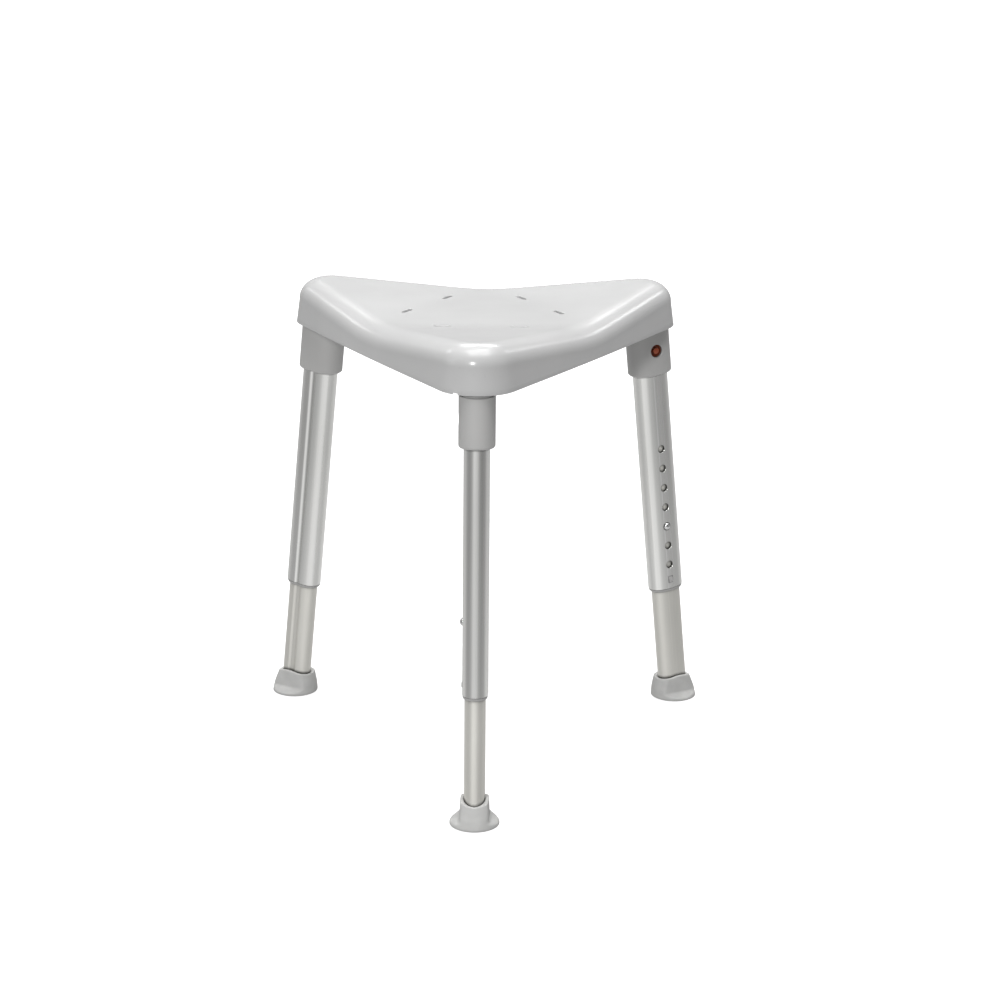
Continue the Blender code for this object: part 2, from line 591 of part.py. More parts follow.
def build_snap(leg, materials, slide):
    """Chrome snap button and the folded leaf spring behind it."""
    place = side_matrix(SNAP_HEIGHT)
    flange_bottom = SNAP_FLANGE_TOP - SNAP_FLANGE_THICKNESS
    button = turned(f"{leg}_snap_button", [
        (SNAP_FLANGE_RADIUS, flange_bottom), (SNAP_FLANGE_RADIUS, SNAP_FLANGE_TOP),
        (SNAP_RADIUS, SNAP_FLANGE_TOP),
    ] + [(radius * MM, TUBE_V + out * MM) for out, radius in SNAP_DOME])
    add(f"{leg}_snap_button", button, materials["snap_chrome"], slide, place)

    near = flange_bottom - GAP
    far = -(LEG_V - GROOVE_DEPTH - LEG_WALL - GAP)
    path = [Vector((near + depth * MM, along * MM)) for depth, along in LEAF_NEAR_PATH]
    path += [Vector((far + depth * MM, along * MM)) for depth, along in LEAF_FAR_PATH]
    half = LEAF_WIDTH / 2
    rings = []
    for before, spot, after in zip(path[:1] + path, path, path[1:] + path[-1:]):
        run = (after - before).normalized()
        back = spot + Vector((run.y, -run.x)) * LEAF_THICKNESS
        rings.append([
            (-half, spot.y, spot.x), (half, spot.y, spot.x), (half, back.y, back.x), (-half, back.y, back.x),
        ])
    leaf = loft(f"{leg}_snap_spring", rings)
    add(f"{leg}_snap_spring", leaf, materials["spring_steel"], slide, place)


def build_foot(leg, degrees, materials, slide):
    """Rubber boot with a level sole and a leaning well for the inner leg."""
    rings = []
    for height, length, width in FOOT_SHAPE:
        z = height * MM
        shift = -z * math.tan(SPLAY) if z > FOOT_LEVEL_PART else 0.0
        rings.append([(u + shift, v, z) for u, v in oval(length * MM, width * MM, FOOT_POINTS, 2.0)])
    turn = Matrix.Rotation(math.radians(degrees), 4, "Z") @ Matrix.Translation((FOOT_RADIUS, 0, 0))
    upright = leg_matrix(degrees).inverted() @ turn
    foot = add(f"{leg}_foot", loft(f"{leg}_foot", rings), materials["foot_rubber"], slide, upright)
    hollow = oval(LEG_U + GAP, LEG_V + GAP)
    well = loft("foot_well", [at(hollow, LEG_BOTTOM - GAP), at(hollow, LEG_BOTTOM + FOOT_WELL_DEPTH)])
    boolean(foot, add_guide(f"{leg}_foot_well", well, slide))


def main():
    for obj in list(bpy.data.objects):
        bpy.data.objects.remove(obj)
    materials = make_materials()
    stool = add_empty("stool_axis", Matrix.Translation((0, CENTRE_Y, 0)))
    frames = {leg: add_empty(f"{leg}_leg_axis", leg_matrix(angle), stool) for leg, angle in LEGS.items()}
    build_seat(materials, stool, frames)
    for leg, degrees in LEGS.items():
        build_socket(leg, degrees, materials, frames[leg], stool)
        build_tube(leg, materials, frames[leg])
        build_release(leg, materials, frames[leg])
        slide = add_empty(f"{leg}_leg_slide", Matrix.Identity(4), frames[leg])
        build_inner_leg(leg, materials, slide)
        build_snap(leg, materials, slide)
        build_foot(leg, degrees, materials, slide)


main()
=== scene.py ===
"""Looks of the shower stool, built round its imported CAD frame.

Every fine mesh stands for one CAD node and rides on that node's body.  Leg pieces
are made in a leg frame: X outwards, Y to the grooved side, Z up the leg, with the
origin on the floor under the foot.  The seat is made in the seat frame, whose
origin is on the floor below the seat's middle.  Lengths are in metres.
"""

import json
import math

import bmesh
import bpy
import numpy as np
from mathutils import Matrix, Vector


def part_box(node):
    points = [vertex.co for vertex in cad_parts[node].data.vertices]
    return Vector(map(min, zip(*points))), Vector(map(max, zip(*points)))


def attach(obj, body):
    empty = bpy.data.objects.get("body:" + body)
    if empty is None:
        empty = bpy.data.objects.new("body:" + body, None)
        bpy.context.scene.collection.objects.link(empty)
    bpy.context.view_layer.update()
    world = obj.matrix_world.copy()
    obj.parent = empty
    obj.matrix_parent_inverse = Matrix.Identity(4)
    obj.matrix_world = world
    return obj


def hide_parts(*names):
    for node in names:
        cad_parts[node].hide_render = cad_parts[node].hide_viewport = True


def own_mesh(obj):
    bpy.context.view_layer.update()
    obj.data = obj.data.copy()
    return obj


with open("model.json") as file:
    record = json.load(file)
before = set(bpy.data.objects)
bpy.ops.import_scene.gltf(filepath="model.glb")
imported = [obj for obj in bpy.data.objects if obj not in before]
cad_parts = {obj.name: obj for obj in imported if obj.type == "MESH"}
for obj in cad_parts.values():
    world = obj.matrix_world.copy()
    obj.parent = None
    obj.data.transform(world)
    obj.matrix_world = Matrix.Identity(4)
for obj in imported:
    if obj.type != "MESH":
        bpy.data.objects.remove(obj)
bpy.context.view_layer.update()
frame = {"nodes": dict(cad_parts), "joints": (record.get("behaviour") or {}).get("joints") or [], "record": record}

MM = 0.001
GAP = 0.3 * MM
FLANGE_RISE = 17.5 * MM
LEGS = ("front", "right", "left")
MOUNTS = {mount["name"]: Vector(mount["pos_m"]) for mount in frame["record"]["mounts"]}
JOINTS = {joint["name"]: joint for joint in frame["joints"]}


# ------------------------------------------------------- places from the frame


def joint_axis(name):
    return Vector(JOINTS[name]["axis"]).normalized()


def standing_frame(leg, up):
    """Frame on the floor under a foot: X outwards, Y to the leg's groove side, Z along up."""
    side = joint_axis(f"{leg}_snap_press")
    matrix = Matrix((side.cross(up), side, up)).transposed().to_4x4()
    matrix.translation = MOUNTS[f"{leg}_foot_base"]
    return matrix


def leg_frame(leg):
    """Frame of one leg: Z up the leg."""
    return standing_frame(leg, -joint_axis(f"{leg}_leg_extension"))


def foot_frame(leg):
    """Frame of one foot: Z straight up."""
    return standing_frame(leg, Vector((0, 0, 1)))


def extent(node, matrix):
    """Lowest and highest corner of a CAD node, measured in another frame."""
    inverse = matrix.inverted()
    points = np.array([inverse @ vertex.co for vertex in frame["nodes"][node].data.vertices])
    return Vector(points.min(0)), Vector(points.max(0))


LEG_FRAMES = {leg: leg_frame(leg) for leg in LEGS}
SEAT_FRAME = Matrix.Translation((MOUNTS["seat_top"].x, MOUNTS["seat_top"].y, 0))
CORNERS = [(MOUNTS[f"{leg}_foot_base"] - MOUNTS["seat_top"]).xy.normalized() for leg in LEGS]
LEAN = math.acos(LEG_FRAMES["front"].col[2].z)

SEAT_RIM_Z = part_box("seat_shell")[0].z
SEAT_FLAT_Z = MOUNTS["seat_top"].z
TUBE_BOTTOM, TUBE_TOP = (corner.z for corner in extent("front_outer_tube", LEG_FRAMES["front"]))
LEG_BOTTOM, LEG_TOP = (corner.z for corner in extent("front_inner_leg", LEG_FRAMES["front"]))
SNAP_LOW, SNAP_HIGH = extent("front_snap_button", LEG_FRAMES["front"])
SNAP_HEIGHT, SNAP_TIP = (SNAP_LOW.z + SNAP_HIGH.z) / 2, -SNAP_LOW.y
RELEASE_LOW, RELEASE_HIGH = extent("front_release_button", LEG_FRAMES["front"])
RELEASE_HEIGHT, RELEASE_TIP = (RELEASE_LOW.z + RELEASE_HIGH.z) / 2, -RELEASE_LOW.y
CARRIER_BOTTOM = extent("front_top_carrier", LEG_FRAMES["front"])[0].z
PLUG_TOP = extent("front_guide_plug", LEG_FRAMES["front"])[1].z
COLLAR_BOTTOM = extent("front_socket", LEG_FRAMES["front"])[0].z
FLANGE_TOP_Z = SEAT_RIM_Z + FLANGE_RISE
PLUG_EDGE = 0.5 * MM
BUSHING_TOP = extent("front_end_bushing", LEG_FRAMES["front"])[1].z

# ----------------------------------------------------------------- section sizes

OVAL_POWER = 2.3
TUBE_U, TUBE_V, TUBE_WALL, TUBE_EDGE = 22.0 * MM, 14.5 * MM, 1.5 * MM, 0.35 * MM
LEG_U, LEG_V, LEG_WALL = 18.25 * MM, 11.8 * MM, 1.5 * MM
GROOVE_MOUTH, GROOVE_FLOOR, GROOVE_DEPTH = 9.0 * MM, 0.8 * MM, 1.8 * MM
GROOVE_CENTRE_U = 1.0 * MM
SECTION_POINTS = 144
# How far a cutter reaches past the wall that it goes through.
CUTTER_REACH = 1.3
# How far past the surface a drill's flare runs on, as a share of its chamfer.
FLARE_PAST = 0.6

HOLE_PITCH, HOLE_COUNT, HOLE_IN_USE = 25 * MM, 7, 5
HOLE_RADIUS, HOLE_CHAMFER, LEG_HOLE_CHAMFER = 4.8 * MM, 0.25 * MM, 0.2 * MM
TOP_HOLE = SNAP_HEIGHT + (HOLE_IN_USE - 1) * HOLE_PITCH

NOSE_STEPS, NOSE_POWER, NOSE_WALL = 8, 1.4, 1.4 * MM
TAB_HEIGHT, TAB_WIDTH, TAB_LENGTH = TUBE_BOTTOM + 12 * MM, 5.4 * MM, 8.0 * MM
TAB_PROUD, TAB_SLOPE, WINDOW_GAP = 0.7 * MM, 0.4 * MM, 0.4 * MM

COLLAR_U, COLLAR_V, COLLAR_ROUND = 27.0 * MM, 20.25 * MM, 3.0 * MM
COLLAR_RECESS, COLLAR_RECESS_HEIGHT, BORE_LEAD_IN = 1.3 * MM, 3.0 * MM, 0.8 * MM
NECK_U, NECK_V, NECK_TOP, NECK_EDGE = 24.9 * MM, 17.6 * MM, 503.5 * MM, 1 * MM
SOCKET_CLEARANCE = 0.4 * MM
FLANGE_THICKNESS, FLANGE_INNER, FLANGE_OUTER = 4.0 * MM, 152 * MM, 196.8 * MM
FLANGE_HALF_WIDTH, FLANGE_CORNER, FLANGE_EDGE = 25 * MM, 6 * MM, 0.6 * MM
SCREW_RADIUS_AT, SCREW_ACROSS = 166 * MM, 15.5 * MM
SCREW_SHANK, SCREW_HEAD, SCREW_HEAD_HEIGHT = 2.1 * MM, 4.6 * MM, 2.8 * MM
SCREW_LENGTH, SCREW_RINGS, THREAD_DEPTH = 16 * MM, 12, 0.5 * MM
SCREW_CROSS_REACH, SCREW_CROSS_HALF, SCREW_CROSS_DEPTH = 2.2 * MM, 0.5 * MM, 1.7 * MM
SCREW_HEAD_EDGE, SCREW_HEAD_FLAT = 0.7 * MM, 0.2 * MM

RELEASE_RADIUS, RELEASE_FLANGE_RADIUS, RELEASE_BOSS_RADIUS = 7.2 * MM, 8.7 * MM, 3.9 * MM
RELEASE_HOLE_RADIUS, RELEASE_HOLE_CHAMFER = 7.8 * MM, 0.9 * MM
RELEASE_FLANGE_TOP, RELEASE_FLANGE_THICKNESS = 11.7 * MM, 1.5 * MM
RELEASE_BORE_RADIUS, RELEASE_BORE_END = 9.0 * MM, 5.0 * MM
RELEASE_RIM_DROP, RELEASE_RIM_EDGE, RELEASE_BOSS_CROWN = 2.2 * MM, 0.5 * MM, 1.2 * MM
RELEASE_WELL_DROP, RELEASE_WELL_FILLET = 4.2 * MM, 0.9 * MM
SNAP_RADIUS, SNAP_FLANGE_RADIUS, SNAP_SHOULDER, SNAP_FLAT = 4.3 * MM, 5.6 * MM, 0.4 * MM, 0.05 * MM
SNAP_FLANGE_TOP, SNAP_FLANGE_THICKNESS = 9.5 * MM, 1.2 * MM
COIL_RADIUS, COIL_WIRE, COIL_TURNS, COIL_STEPS, COIL_SECTION = 5.0 * MM, 0.6 * MM, 4, 32, 10
LEAF_THICKNESS, LEAF_WIDTH, LEAF_LENGTH = 0.8 * MM, 9 * MM, 42 * MM
LEAF_NEAR_END, LEAF_FAR_END, LEAF_FOLD_START = 5 * MM, 2 * MM, -10 * MM

SEAT_INRADIUS, SEAT_CORNER_RADIUS, SEAT_SIDE_BOW = 149.9 * MM, 47.8 * MM, 2.3 * MM
SEAT_LOBE_SLOPE, SEAT_CREASE_WIDTH = 0.1104, 20 * MM
SEAT_ROUND_ACROSS, SEAT_ROUND_UP, SEAT_ROUND_POWER = 31.7 * MM, 24.1 * MM, 2.16
SEAT_DRAFT, SEAT_WALL, SEAT_EDGE = math.radians(7.5), 3.5 * MM, 0.8 * MM
CORNER_STEPS, SIDE_STEPS = 44, 76
RIB_THICKNESS, RIB_BOTTOM_Z = 2.6 * MM, SEAT_RIM_Z + 18 * MM
RIB_RING_RADIUS, RIB_CORNER_END, RIB_SIDE_END = 44 * MM, 143 * MM, 126 * MM
RIB_RING_RISE, RIB_EDGE = 1 * MM, 0.6 * MM
PAD_RADIUS, PAD_TOP_Z = 12 * MM, SEAT_FLAT_Z + 12.7 * MM
BOSS_RADIUS, BOSS_EDGE = 5.5 * MM, 0.5 * MM
SLOT_LENGTH, SLOT_WIDTH, SLOT_EDGE = 20 * MM, 4.8 * MM, 0.5 * MM
SLOT_ALONG, SLOT_ACROSS = 75.7 * MM, 43.8 * MM
NOTCH_ACROSS, NOTCH_WIDTH, NOTCH_HEIGHT = 23 * MM, 5 * MM, 2.0 * MM
NOTCH_INNER, NOTCH_OUTER = SEAT_INRADIUS * 1.55, SEAT_INRADIUS * 1.75

FOOT_COLLAR_LOW, FOOT_COLLAR_RISE, FOOT_COLLAR_TILT = 26.0 * MM, 3.5 * MM, 1.5 * MM
FOOT_CHEEK, FOOT_CHEEK_LOW = 15.9 * MM, 16.6 * MM
# The sole's flange runs up into the flat cheeks in a hollow curve between these heights.
FOOT_FLANGE, FOOT_WAIST, FOOT_FLARE, FOOT_FLARE_POWER = 2.2 * MM, 9.5 * MM, 37 * MM, 2.2
FOOT_DOME_HEIGHTS = np.array([0, 0.6, 2.5, 4, 6, 9, 12, 15, 20, 27.5, 31.5]) * MM
FOOT_DOME_RADII = np.array([27.4, 27.8, 27.7, 27.5, 27.25, 26.9, 26.4, 25.6, 24.2, 21.9, 20.3]) * MM
# A higher power leaves a sharper corner between the dome and the cheeks.
FOOT_SHARPNESS = 14
FOOT_HEIGHTS = np.array([0.0, 0.15, 0.5, 1.0, 1.7, 2.4, 3.2, 4, 5, 6, 7, 8, 9, 10, 11,
                         11.8, 12.4, 12.8, 13.0, 13.4, 14, 15]) * MM
FOOT_EDGE, FOOT_EDGE_HEIGHT, FOOT_LIP = 0.9 * MM, 1.2 * MM, 1.4 * MM
# The sole's ring grooves: where each starts, and their reach and depth, in millimetres.
SOLE_GROOVES = (5.5, 10.5, 15.5, 20.5)
SOLE_GROOVE_SHAPE = ((0, 0), (0.3, 0.9), (2.2, 0.9), (2.5, 0))


# ------------------------------------------------------------------ mesh helpers


def finished(name, points, faces):
    """A mesh with its faces pointing out."""
    mesh = bpy.data.meshes.new(name)
    mesh.from_pydata(points, [], faces)
    work = bmesh.new()
    work.from_mesh(mesh)
    bmesh.ops.recalc_face_normals(work, faces=work.faces)
    work.to_mesh(mesh)
    work.free()
    return mesh


def skin(name, rings, closed=False):
    """Skin over rings of equal length.  A closed one meets itself, an open one is capped."""
    rings = np.asarray(rings, float)
    count, width = rings.shape[:2]
    index = np.arange(count * width).reshape(count, width)
    rows = np.vstack([index, index[:1]]) if closed else index
    low, high = rows[:-1], rows[1:]
    quads = np.stack([low, np.roll(low, -1, 1), np.roll(high, -1, 1), high], -1)
    faces = quads.reshape(-1, 4).tolist()
    if not closed:
        faces += [index[0].tolist(), index[-1].tolist()]
    return finished(name, rings.reshape(-1, 3).tolist(), faces)


def circle(radius, height, count):
    turn = np.arange(count) * 2 * np.pi / count
    return np.stack([radius * np.cos(turn), radius * np.sin(turn), np.full(count, height)], 1)


def turned(name, profile, count=48):
    """Solid of revolution about Z from (radius, height) pairs, bottom to top."""
    return skin(name, [circle(radius, height, count) for radius, height in profile])


def arc(centre, radii, start, finish, steps):
    """Points on an elliptical arc in a profile plane, angles in degrees."""
    turn = np.radians(np.linspace(start, finish, steps + 1))
    return [(centre[0] + radii[0] * math.cos(a), centre[1] + radii[1] * math.sin(a)) for a in turn]


def even(points, count):
    """Points spaced evenly along a closed outline."""
    closed = np.vstack([points, points[:1]])
    run = np.r_[0, np.cumsum(np.linalg.norm(np.diff(closed, axis=0), axis=1))]
    stations = np.linspace(0, run[-1], count, endpoint=False)
    return np.stack([np.interp(stations, run, closed[:, k]) for k in (0, 1)], 1)


def dense_oval(half_u, half_v):
    turn = np.linspace(0, 2 * np.pi, 2880, endpoint=False)
    c, s = np.cos(turn), np.sin(turn)
    power = 2 / OVAL_POWER
    return np.stack([half_u * np.sign(c) * abs(c) ** power, half_v * np.sign(s) * abs(s) ** power], 1)


def oval(half_u, half_v, count=SECTION_POINTS):
    return even(dense_oval(half_u, half_v), count)


def smoothstep(share):
    share = np.clip(share, 0, 1)
    return share * share * (3 - 2 * share)


def grooved(half_u, half_v, grow=0.0):
    """The oval with a soft-edged guide groove along its +v side."""
    points = dense_oval(half_u, half_v)
    mouth, floor = GROOVE_MOUTH / 2 + grow, GROOVE_FLOOR / 2 + grow
    share = (mouth - abs(points[:, 0] - GROOVE_CENTRE_U)) / (mouth - floor)
    points[:, 1] -= np.where(points[:, 1] > 0, GROOVE_DEPTH * smoothstep(share), 0)
    return even(points, SECTION_POINTS)


def at(section, height):
    return np.column_stack([section, np.full(len(section), height)])


def level(section, z):
    """The ring where a leg's section meets the horizontal plane at z."""
    return np.column_stack([section, (z - section[:, 0] * math.sin(LEAN)) / math.cos(LEAN)])


def side_frame(height):
    """Frame of a button in a leg: origin on the leg's axis, Z out through the hole side."""
    return Matrix.Translation((0, 0, height)) @ Matrix.Rotation(math.radians(90), 4, "X")


def linked(name, data):
    """A new object in the scene."""
    obj = bpy.data.objects.new(name, data)
    bpy.context.scene.collection.objects.link(obj)
    return obj


def carved(mesh, tools):
    """The mesh after a Boolean with each (mesh, matrix, operation)."""
    target = linked(mesh.name, mesh)
    helpers = []
    for tool, matrix, operation in tools:
        helper = linked(tool.name, tool)
        helper.matrix_world = matrix
        modifier = target.modifiers.new(tool.name, "BOOLEAN")
        modifier.operation = operation
        modifier.solver = "MANIFOLD"
        modifier.object = helper
        helpers.append(helper)
    bpy.context.view_layer.update()
    graph = bpy.context.evaluated_depsgraph_get()
    made = bpy.data.meshes.new_from_object(target.evaluated_get(graph))
    for obj in (target, *helpers):
        bpy.data.objects.remove(obj)
    return made


def add_piece(name, mesh, slot, body, node, place, sharp=32):
    """One fine piece in place of one CAD node.  Its slot and its material share a name."""
    mesh.shade_smooth()
    mesh.set_sharp_from_angle(angle=math.radians(sharp))
    mesh.materials.clear()
    mesh.materials.append(MATERIALS[slot])
    obj = linked(name, mesh)
    obj.matrix_world = place
    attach(obj, body)
    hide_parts(node)
    return obj


def add_leg_piece(leg, part, mesh, slot, body, place=None, sharp=32):
    """A piece of one leg, made in the leg's frame unless a place is given."""
    place = LEG_FRAMES[leg] if place is None else place
    return add_piece(f"{leg}_leg_{part}", mesh, slot, body, f"{leg}_{part}", place, sharp)


# --------------------------------------------------------------------- materials


class Finish:
    """A Principled material whose colour, roughness and bump vary over the surface."""

    def __init__(self, name, metallic=0.0, specular=0.5):
        self.material = bpy.data.materials.new(name)
        self.material.use_nodes = True
        self.nodes = self.material.node_tree.nodes
        self.links = self.material.node_tree.links
        self.shader = self.nodes["Principled BSDF"]
        self.shader.inputs["Metallic"].default_value = metallic
        self.shader.inputs["Specular IOR Level"].default_value = specular
        self.place = self.nodes.new("ShaderNodeTexCoord").outputs["Object"]
        self.height = None

    def noise(self, scale, stretch=(1, 1, 1), detail=4.0):
        """Noise in the piece's own space: scale is in features per metre."""
        mapping = self.nodes.new("ShaderNodeMapping")
        mapping.inputs["Scale"].default_value = stretch
        self.links.new(self.place, mapping.inputs["Vector"])
        noise = self.nodes.new("ShaderNodeTexNoise")
        noise.inputs["Scale"].default_value = scale
        noise.inputs["Detail"].default_value = detail
        self.links.new(mapping.outputs["Vector"], noise.inputs["Vector"])
        return noise.outputs["Fac"]

    def ramp(self, value, low, high, to_low=0.0, to_high=1.0):
        mapped = self.nodes.new("ShaderNodeMapRange")
        mapped.inputs["From Min"].default_value = low
        mapped.inputs["From Max"].default_value = high
        mapped.inputs["To Min"].default_value = to_low
        mapped.inputs["To Max"].default_value = to_high
        self.links.new(value, mapped.inputs["Value"])
        return mapped.outputs["Result"]

    def rubbed(self, base, colour, share, bright, low=0.53, high=0.62):
        """The base colour, brighter on worn convex edges."""
        geometry = self.nodes.new("ShaderNodeNewGeometry")
        worn = self.ramp(geometry.outputs["Pointiness"], low, high, 0, share)
        return self.mixed(worn, base, tint(colour, bright))

    def shaded(self, base, colour, reach, dark):
        """The base colour with painted shade, darker deep in holes, slots and narrow gaps."""
        # Painted shade: ambient occlusion darkens the colour where little open space surrounds the surface.
        shade = self.nodes.new("ShaderNodeAmbientOcclusion")
        shade.samples = 8
        shade.inputs["Distance"].default_value = reach
        return self.mixed(self.ramp(shade.outputs["AO"], 0.95, 0.5), base, tint(colour, dark))

    def mixed(self, factor, first, second):
        """A colour between two; each is a colour or another mix's output."""
        node = self.nodes.new("ShaderNodeMix")
        node.data_type = "RGBA"
        self.links.new(factor, node.inputs["Factor"])
        for socket, colour in (("A", first), ("B", second)):
            target = next(s for s in node.inputs if s.name == socket and s.type == "RGBA")
            if isinstance(colour, tuple):
                target.default_value = (*colour, 1)
            else:
                self.links.new(colour, target)
        return next(s for s in node.outputs if s.type == "RGBA")

    def colour(self, output):
        self.links.new(output, self.shader.inputs["Base Color"])

    def roughness(self, output):
        self.links.new(output, self.shader.inputs["Roughness"])

    def bump(self, value, distance, strength):
        """Adds one layer of relief, distance in metres."""
        bump = self.nodes.new("ShaderNodeBump")
        bump.inputs["Distance"].default_value = distance
        bump.inputs["Strength"].default_value = strength
        self.links.new(value, bump.inputs["Height"])
        if self.height is not None:
            self.links.new(self.height, bump.inputs["Normal"])
        self.height = bump.outputs["Normal"]
        self.links.new(self.height, self.shader.inputs["Normal"])


def tint(colour, share):
    return tuple(min(1.0, channel * share) for channel in colour)


def moulded(name, colour, rough, grain=1500, relief=0.02 * MM):
    """Moulded plastic: faint flow mottling, fine texture, rubbed edges and painted shade in hollows and gaps."""
    made = Finish(name)
    cloud = made.ramp(made.noise(9, detail=3), 0.35, 0.65)
    base = made.mixed(cloud, tint(colour, 0.965), tint(colour, 1.02))
    speck = made.ramp(made.noise(260, detail=2), 0.68, 0.78)
    base = made.mixed(speck, base, tint(colour, 0.93))
    base = made.rubbed(base, colour, 0.35, 1.12, 0.57, 0.68)
    # Painted shade: the colour darkens in hollows, slots and narrow gaps.
    made.colour(made.shaded(base, colour, 4 * MM, 0.45))
    made.roughness(made.ramp(made.noise(12, detail=2), 0.3, 0.7, rough - 0.012, rough + 0.018))
    made.bump(made.noise(30, detail=1), 0.03 * MM, 0.25)
    made.bump(made.noise(grain, detail=3), relief, 0.6)
    return made.material


def drawn_aluminium(name, colour, rough, streak, relief):
    """Anodised extrusion: long draw lines, soft satin, rubbed bright edges and painted shade in holes and gaps."""
    made = Finish(name, metallic=1.0)
    lines = made.noise(520, (1, 1, 0.004), detail=3)
    broad = made.noise(60, (1, 1, 0.01), detail=2)
    blotch = made.noise(14, (1, 1, 0.3), detail=3)
    base = made.mixed(made.ramp(blotch, 0.35, 0.65), tint(colour, 0.95), tint(colour, 1.03))
    base = made.mixed(made.ramp(lines, 0.3, 0.7, 0, streak), base, tint(colour, 0.86))
    base = made.rubbed(base, colour, 0.6, 1.25)
    # Painted shade: the colour darkens strongly in holes, the groove and narrow gaps.
    made.colour(made.shaded(base, colour, 3 * MM, 0.15))
    made.roughness(made.ramp(broad, 0.3, 0.7, rough - 0.04, rough + 0.05))
    made.bump(lines, relief, 0.5)
    return made.material


def blasted_aluminium(name, colour, rough):
    """Bead-blasted inner leg, with faint rub marks along its length and painted shade in holes and gaps."""
    made = Finish(name, metallic=0.85)
    blotch = made.noise(18, (1, 1, 0.35), detail=4)
    rubbed = made.noise(160, (1, 1, 0.02), detail=3)
    base = made.mixed(made.ramp(blotch, 0.35, 0.65), tint(colour, 0.95), tint(colour, 1.04))
    base = made.mixed(made.ramp(rubbed, 0.6, 0.75, 0, 0.5), base, tint(colour, 1.1))
    base = made.rubbed(base, colour, 0.4, 1.2)
    # Painted shade: the colour darkens in holes and in the narrow gap inside the tube.
    made.colour(made.shaded(base, colour, 4 * MM, 0.2))
    made.roughness(made.ramp(rubbed, 0.4, 0.8, rough, rough - 0.1))
    made.bump(made.noise(2400, detail=2), 0.01 * MM, 0.6)
    return made.material


def rubber(name, colour):
    """Moulded rubber: matte, slightly dusty, with painted shade darkening the band next to the floor."""
    made = Finish(name, specular=0.35)
    dust = made.ramp(made.noise(70, detail=5), 0.4, 0.7)
    base = made.mixed(dust, tint(colour, 0.95), tint(colour, 1.05))
    height = made.nodes.new("ShaderNodeSeparateXYZ")
    made.links.new(made.place, height.inputs["Vector"])
    # Painted shade: the lowest few millimetres of the foot are darkened, as if shaded by the floor.
    sole = made.ramp(height.outputs["Z"], 3.4 * MM, 0.6 * MM)
    base = made.mixed(made.ramp(sole, 0, 1, 0, 0.55), base, tint(colour, 0.62))
    made.colour(made.rubbed(base, colour, 0.3, 1.1))
    made.roughness(made.ramp(dust, 0, 1, 0.62, 0.78))
    made.bump(made.noise(1300, detail=3), 0.03 * MM, 0.5)
    return made.material


def polished(name, colour, rough):
    """Bright metal with hairline scratches."""
    made = Finish(name, metallic=1.0)
    hair = made.noise(900, (1, 0.05, 1), detail=2)
    base = made.mixed(made.ramp(made.noise(120, detail=3), 0.4, 0.6), tint(colour, 0.94), colour)
    made.colour(made.rubbed(base, colour, 0.5, 1.1))
    made.roughness(made.ramp(hair, 0.4, 0.7, rough, rough + 0.12))
    made.bump(hair, 0.004 * MM, 0.5)
    return made.material


MATERIALS = {
    "seat_plastic": moulded("seat_plastic", (0.50, 0.50, 0.50), 0.22, grain=1100, relief=0.006 * MM),
    "socket_plastic": moulded("socket_plastic", (0.46, 0.458, 0.452), 0.42),
    "bushing_plastic": moulded("bushing_plastic", (0.46, 0.455, 0.45), 0.5),
    "release_orange": moulded("release_orange", (0.36, 0.075, 0.028), 0.4, relief=0.01 * MM),
    "tube_aluminium": drawn_aluminium("tube_aluminium", (0.86, 0.86, 0.84), 0.25, 0.35, 0.006 * MM),
    "leg_aluminium": blasted_aluminium("leg_aluminium", (0.83, 0.82, 0.775), 0.58),
    "foot_rubber": rubber("foot_rubber", (0.54, 0.54, 0.53)),
    "snap_chrome": polished("snap_chrome", (0.82, 0.82, 0.82), 0.08),
    "spring_steel": polished("spring_steel", (0.55, 0.55, 0.56), 0.22),
    "screw_steel": polished("screw_steel", (0.60, 0.60, 0.60), 0.2),
}


# -------------------------------------------------------------------------- seat


def direction(angle):
    return np.array([math.cos(angle), math.sin(angle)])


def sideways(along):
    """The flat direction a quarter turn on."""
    return np.array([-along[1], along[0]])


def seat_outline(inset):
    """Rounded triangle about the seat's middle, inset from the rim's outer edge."""
    radius = SEAT_CORNER_RADIUS - inset
    reach = 2 * (SEAT_INRADIUS - SEAT_CORNER_RADIUS)
    third = 2 * math.pi / 3
    points = []
    for corner in CORNERS:
        start = math.atan2(corner.y, corner.x)
        centre, following = direction(start) * reach, direction(start + third) * reach
        for share in np.linspace(0, 1, CORNER_STEPS, endpoint=False):
            points.append(centre + direction(start + third * (share - 0.5)) * radius)
        outward = direction(start + third / 2)
        for share in np.linspace(0, 1, SIDE_STEPS, endpoint=False):
            bow = SEAT_SIDE_BOW * (4 * share * (1 - share)) ** 1.5
            points.append(centre + (following - centre) * share + outward * (radius + bow))
    return np.array(points)


def seat_height(points, drop=0.0):
    """Top surface: flat in the middle, then a soft crease and a slope to each corner."""
    height = np.full(len(points), SEAT_FLAT_Z - drop)
    for corner in CORNERS:
        past = points @ np.array(corner) - SEAT_INRADIUS / 2
        bend = np.clip(past + SEAT_CREASE_WIDTH, 0, 2 * SEAT_CREASE_WIDTH) ** 2 / (4 * SEAT_CREASE_WIDTH)
        height += SEAT_LOBE_SLOPE * (bend + np.clip(past - SEAT_CREASE_WIDTH, 0, None))
    return height


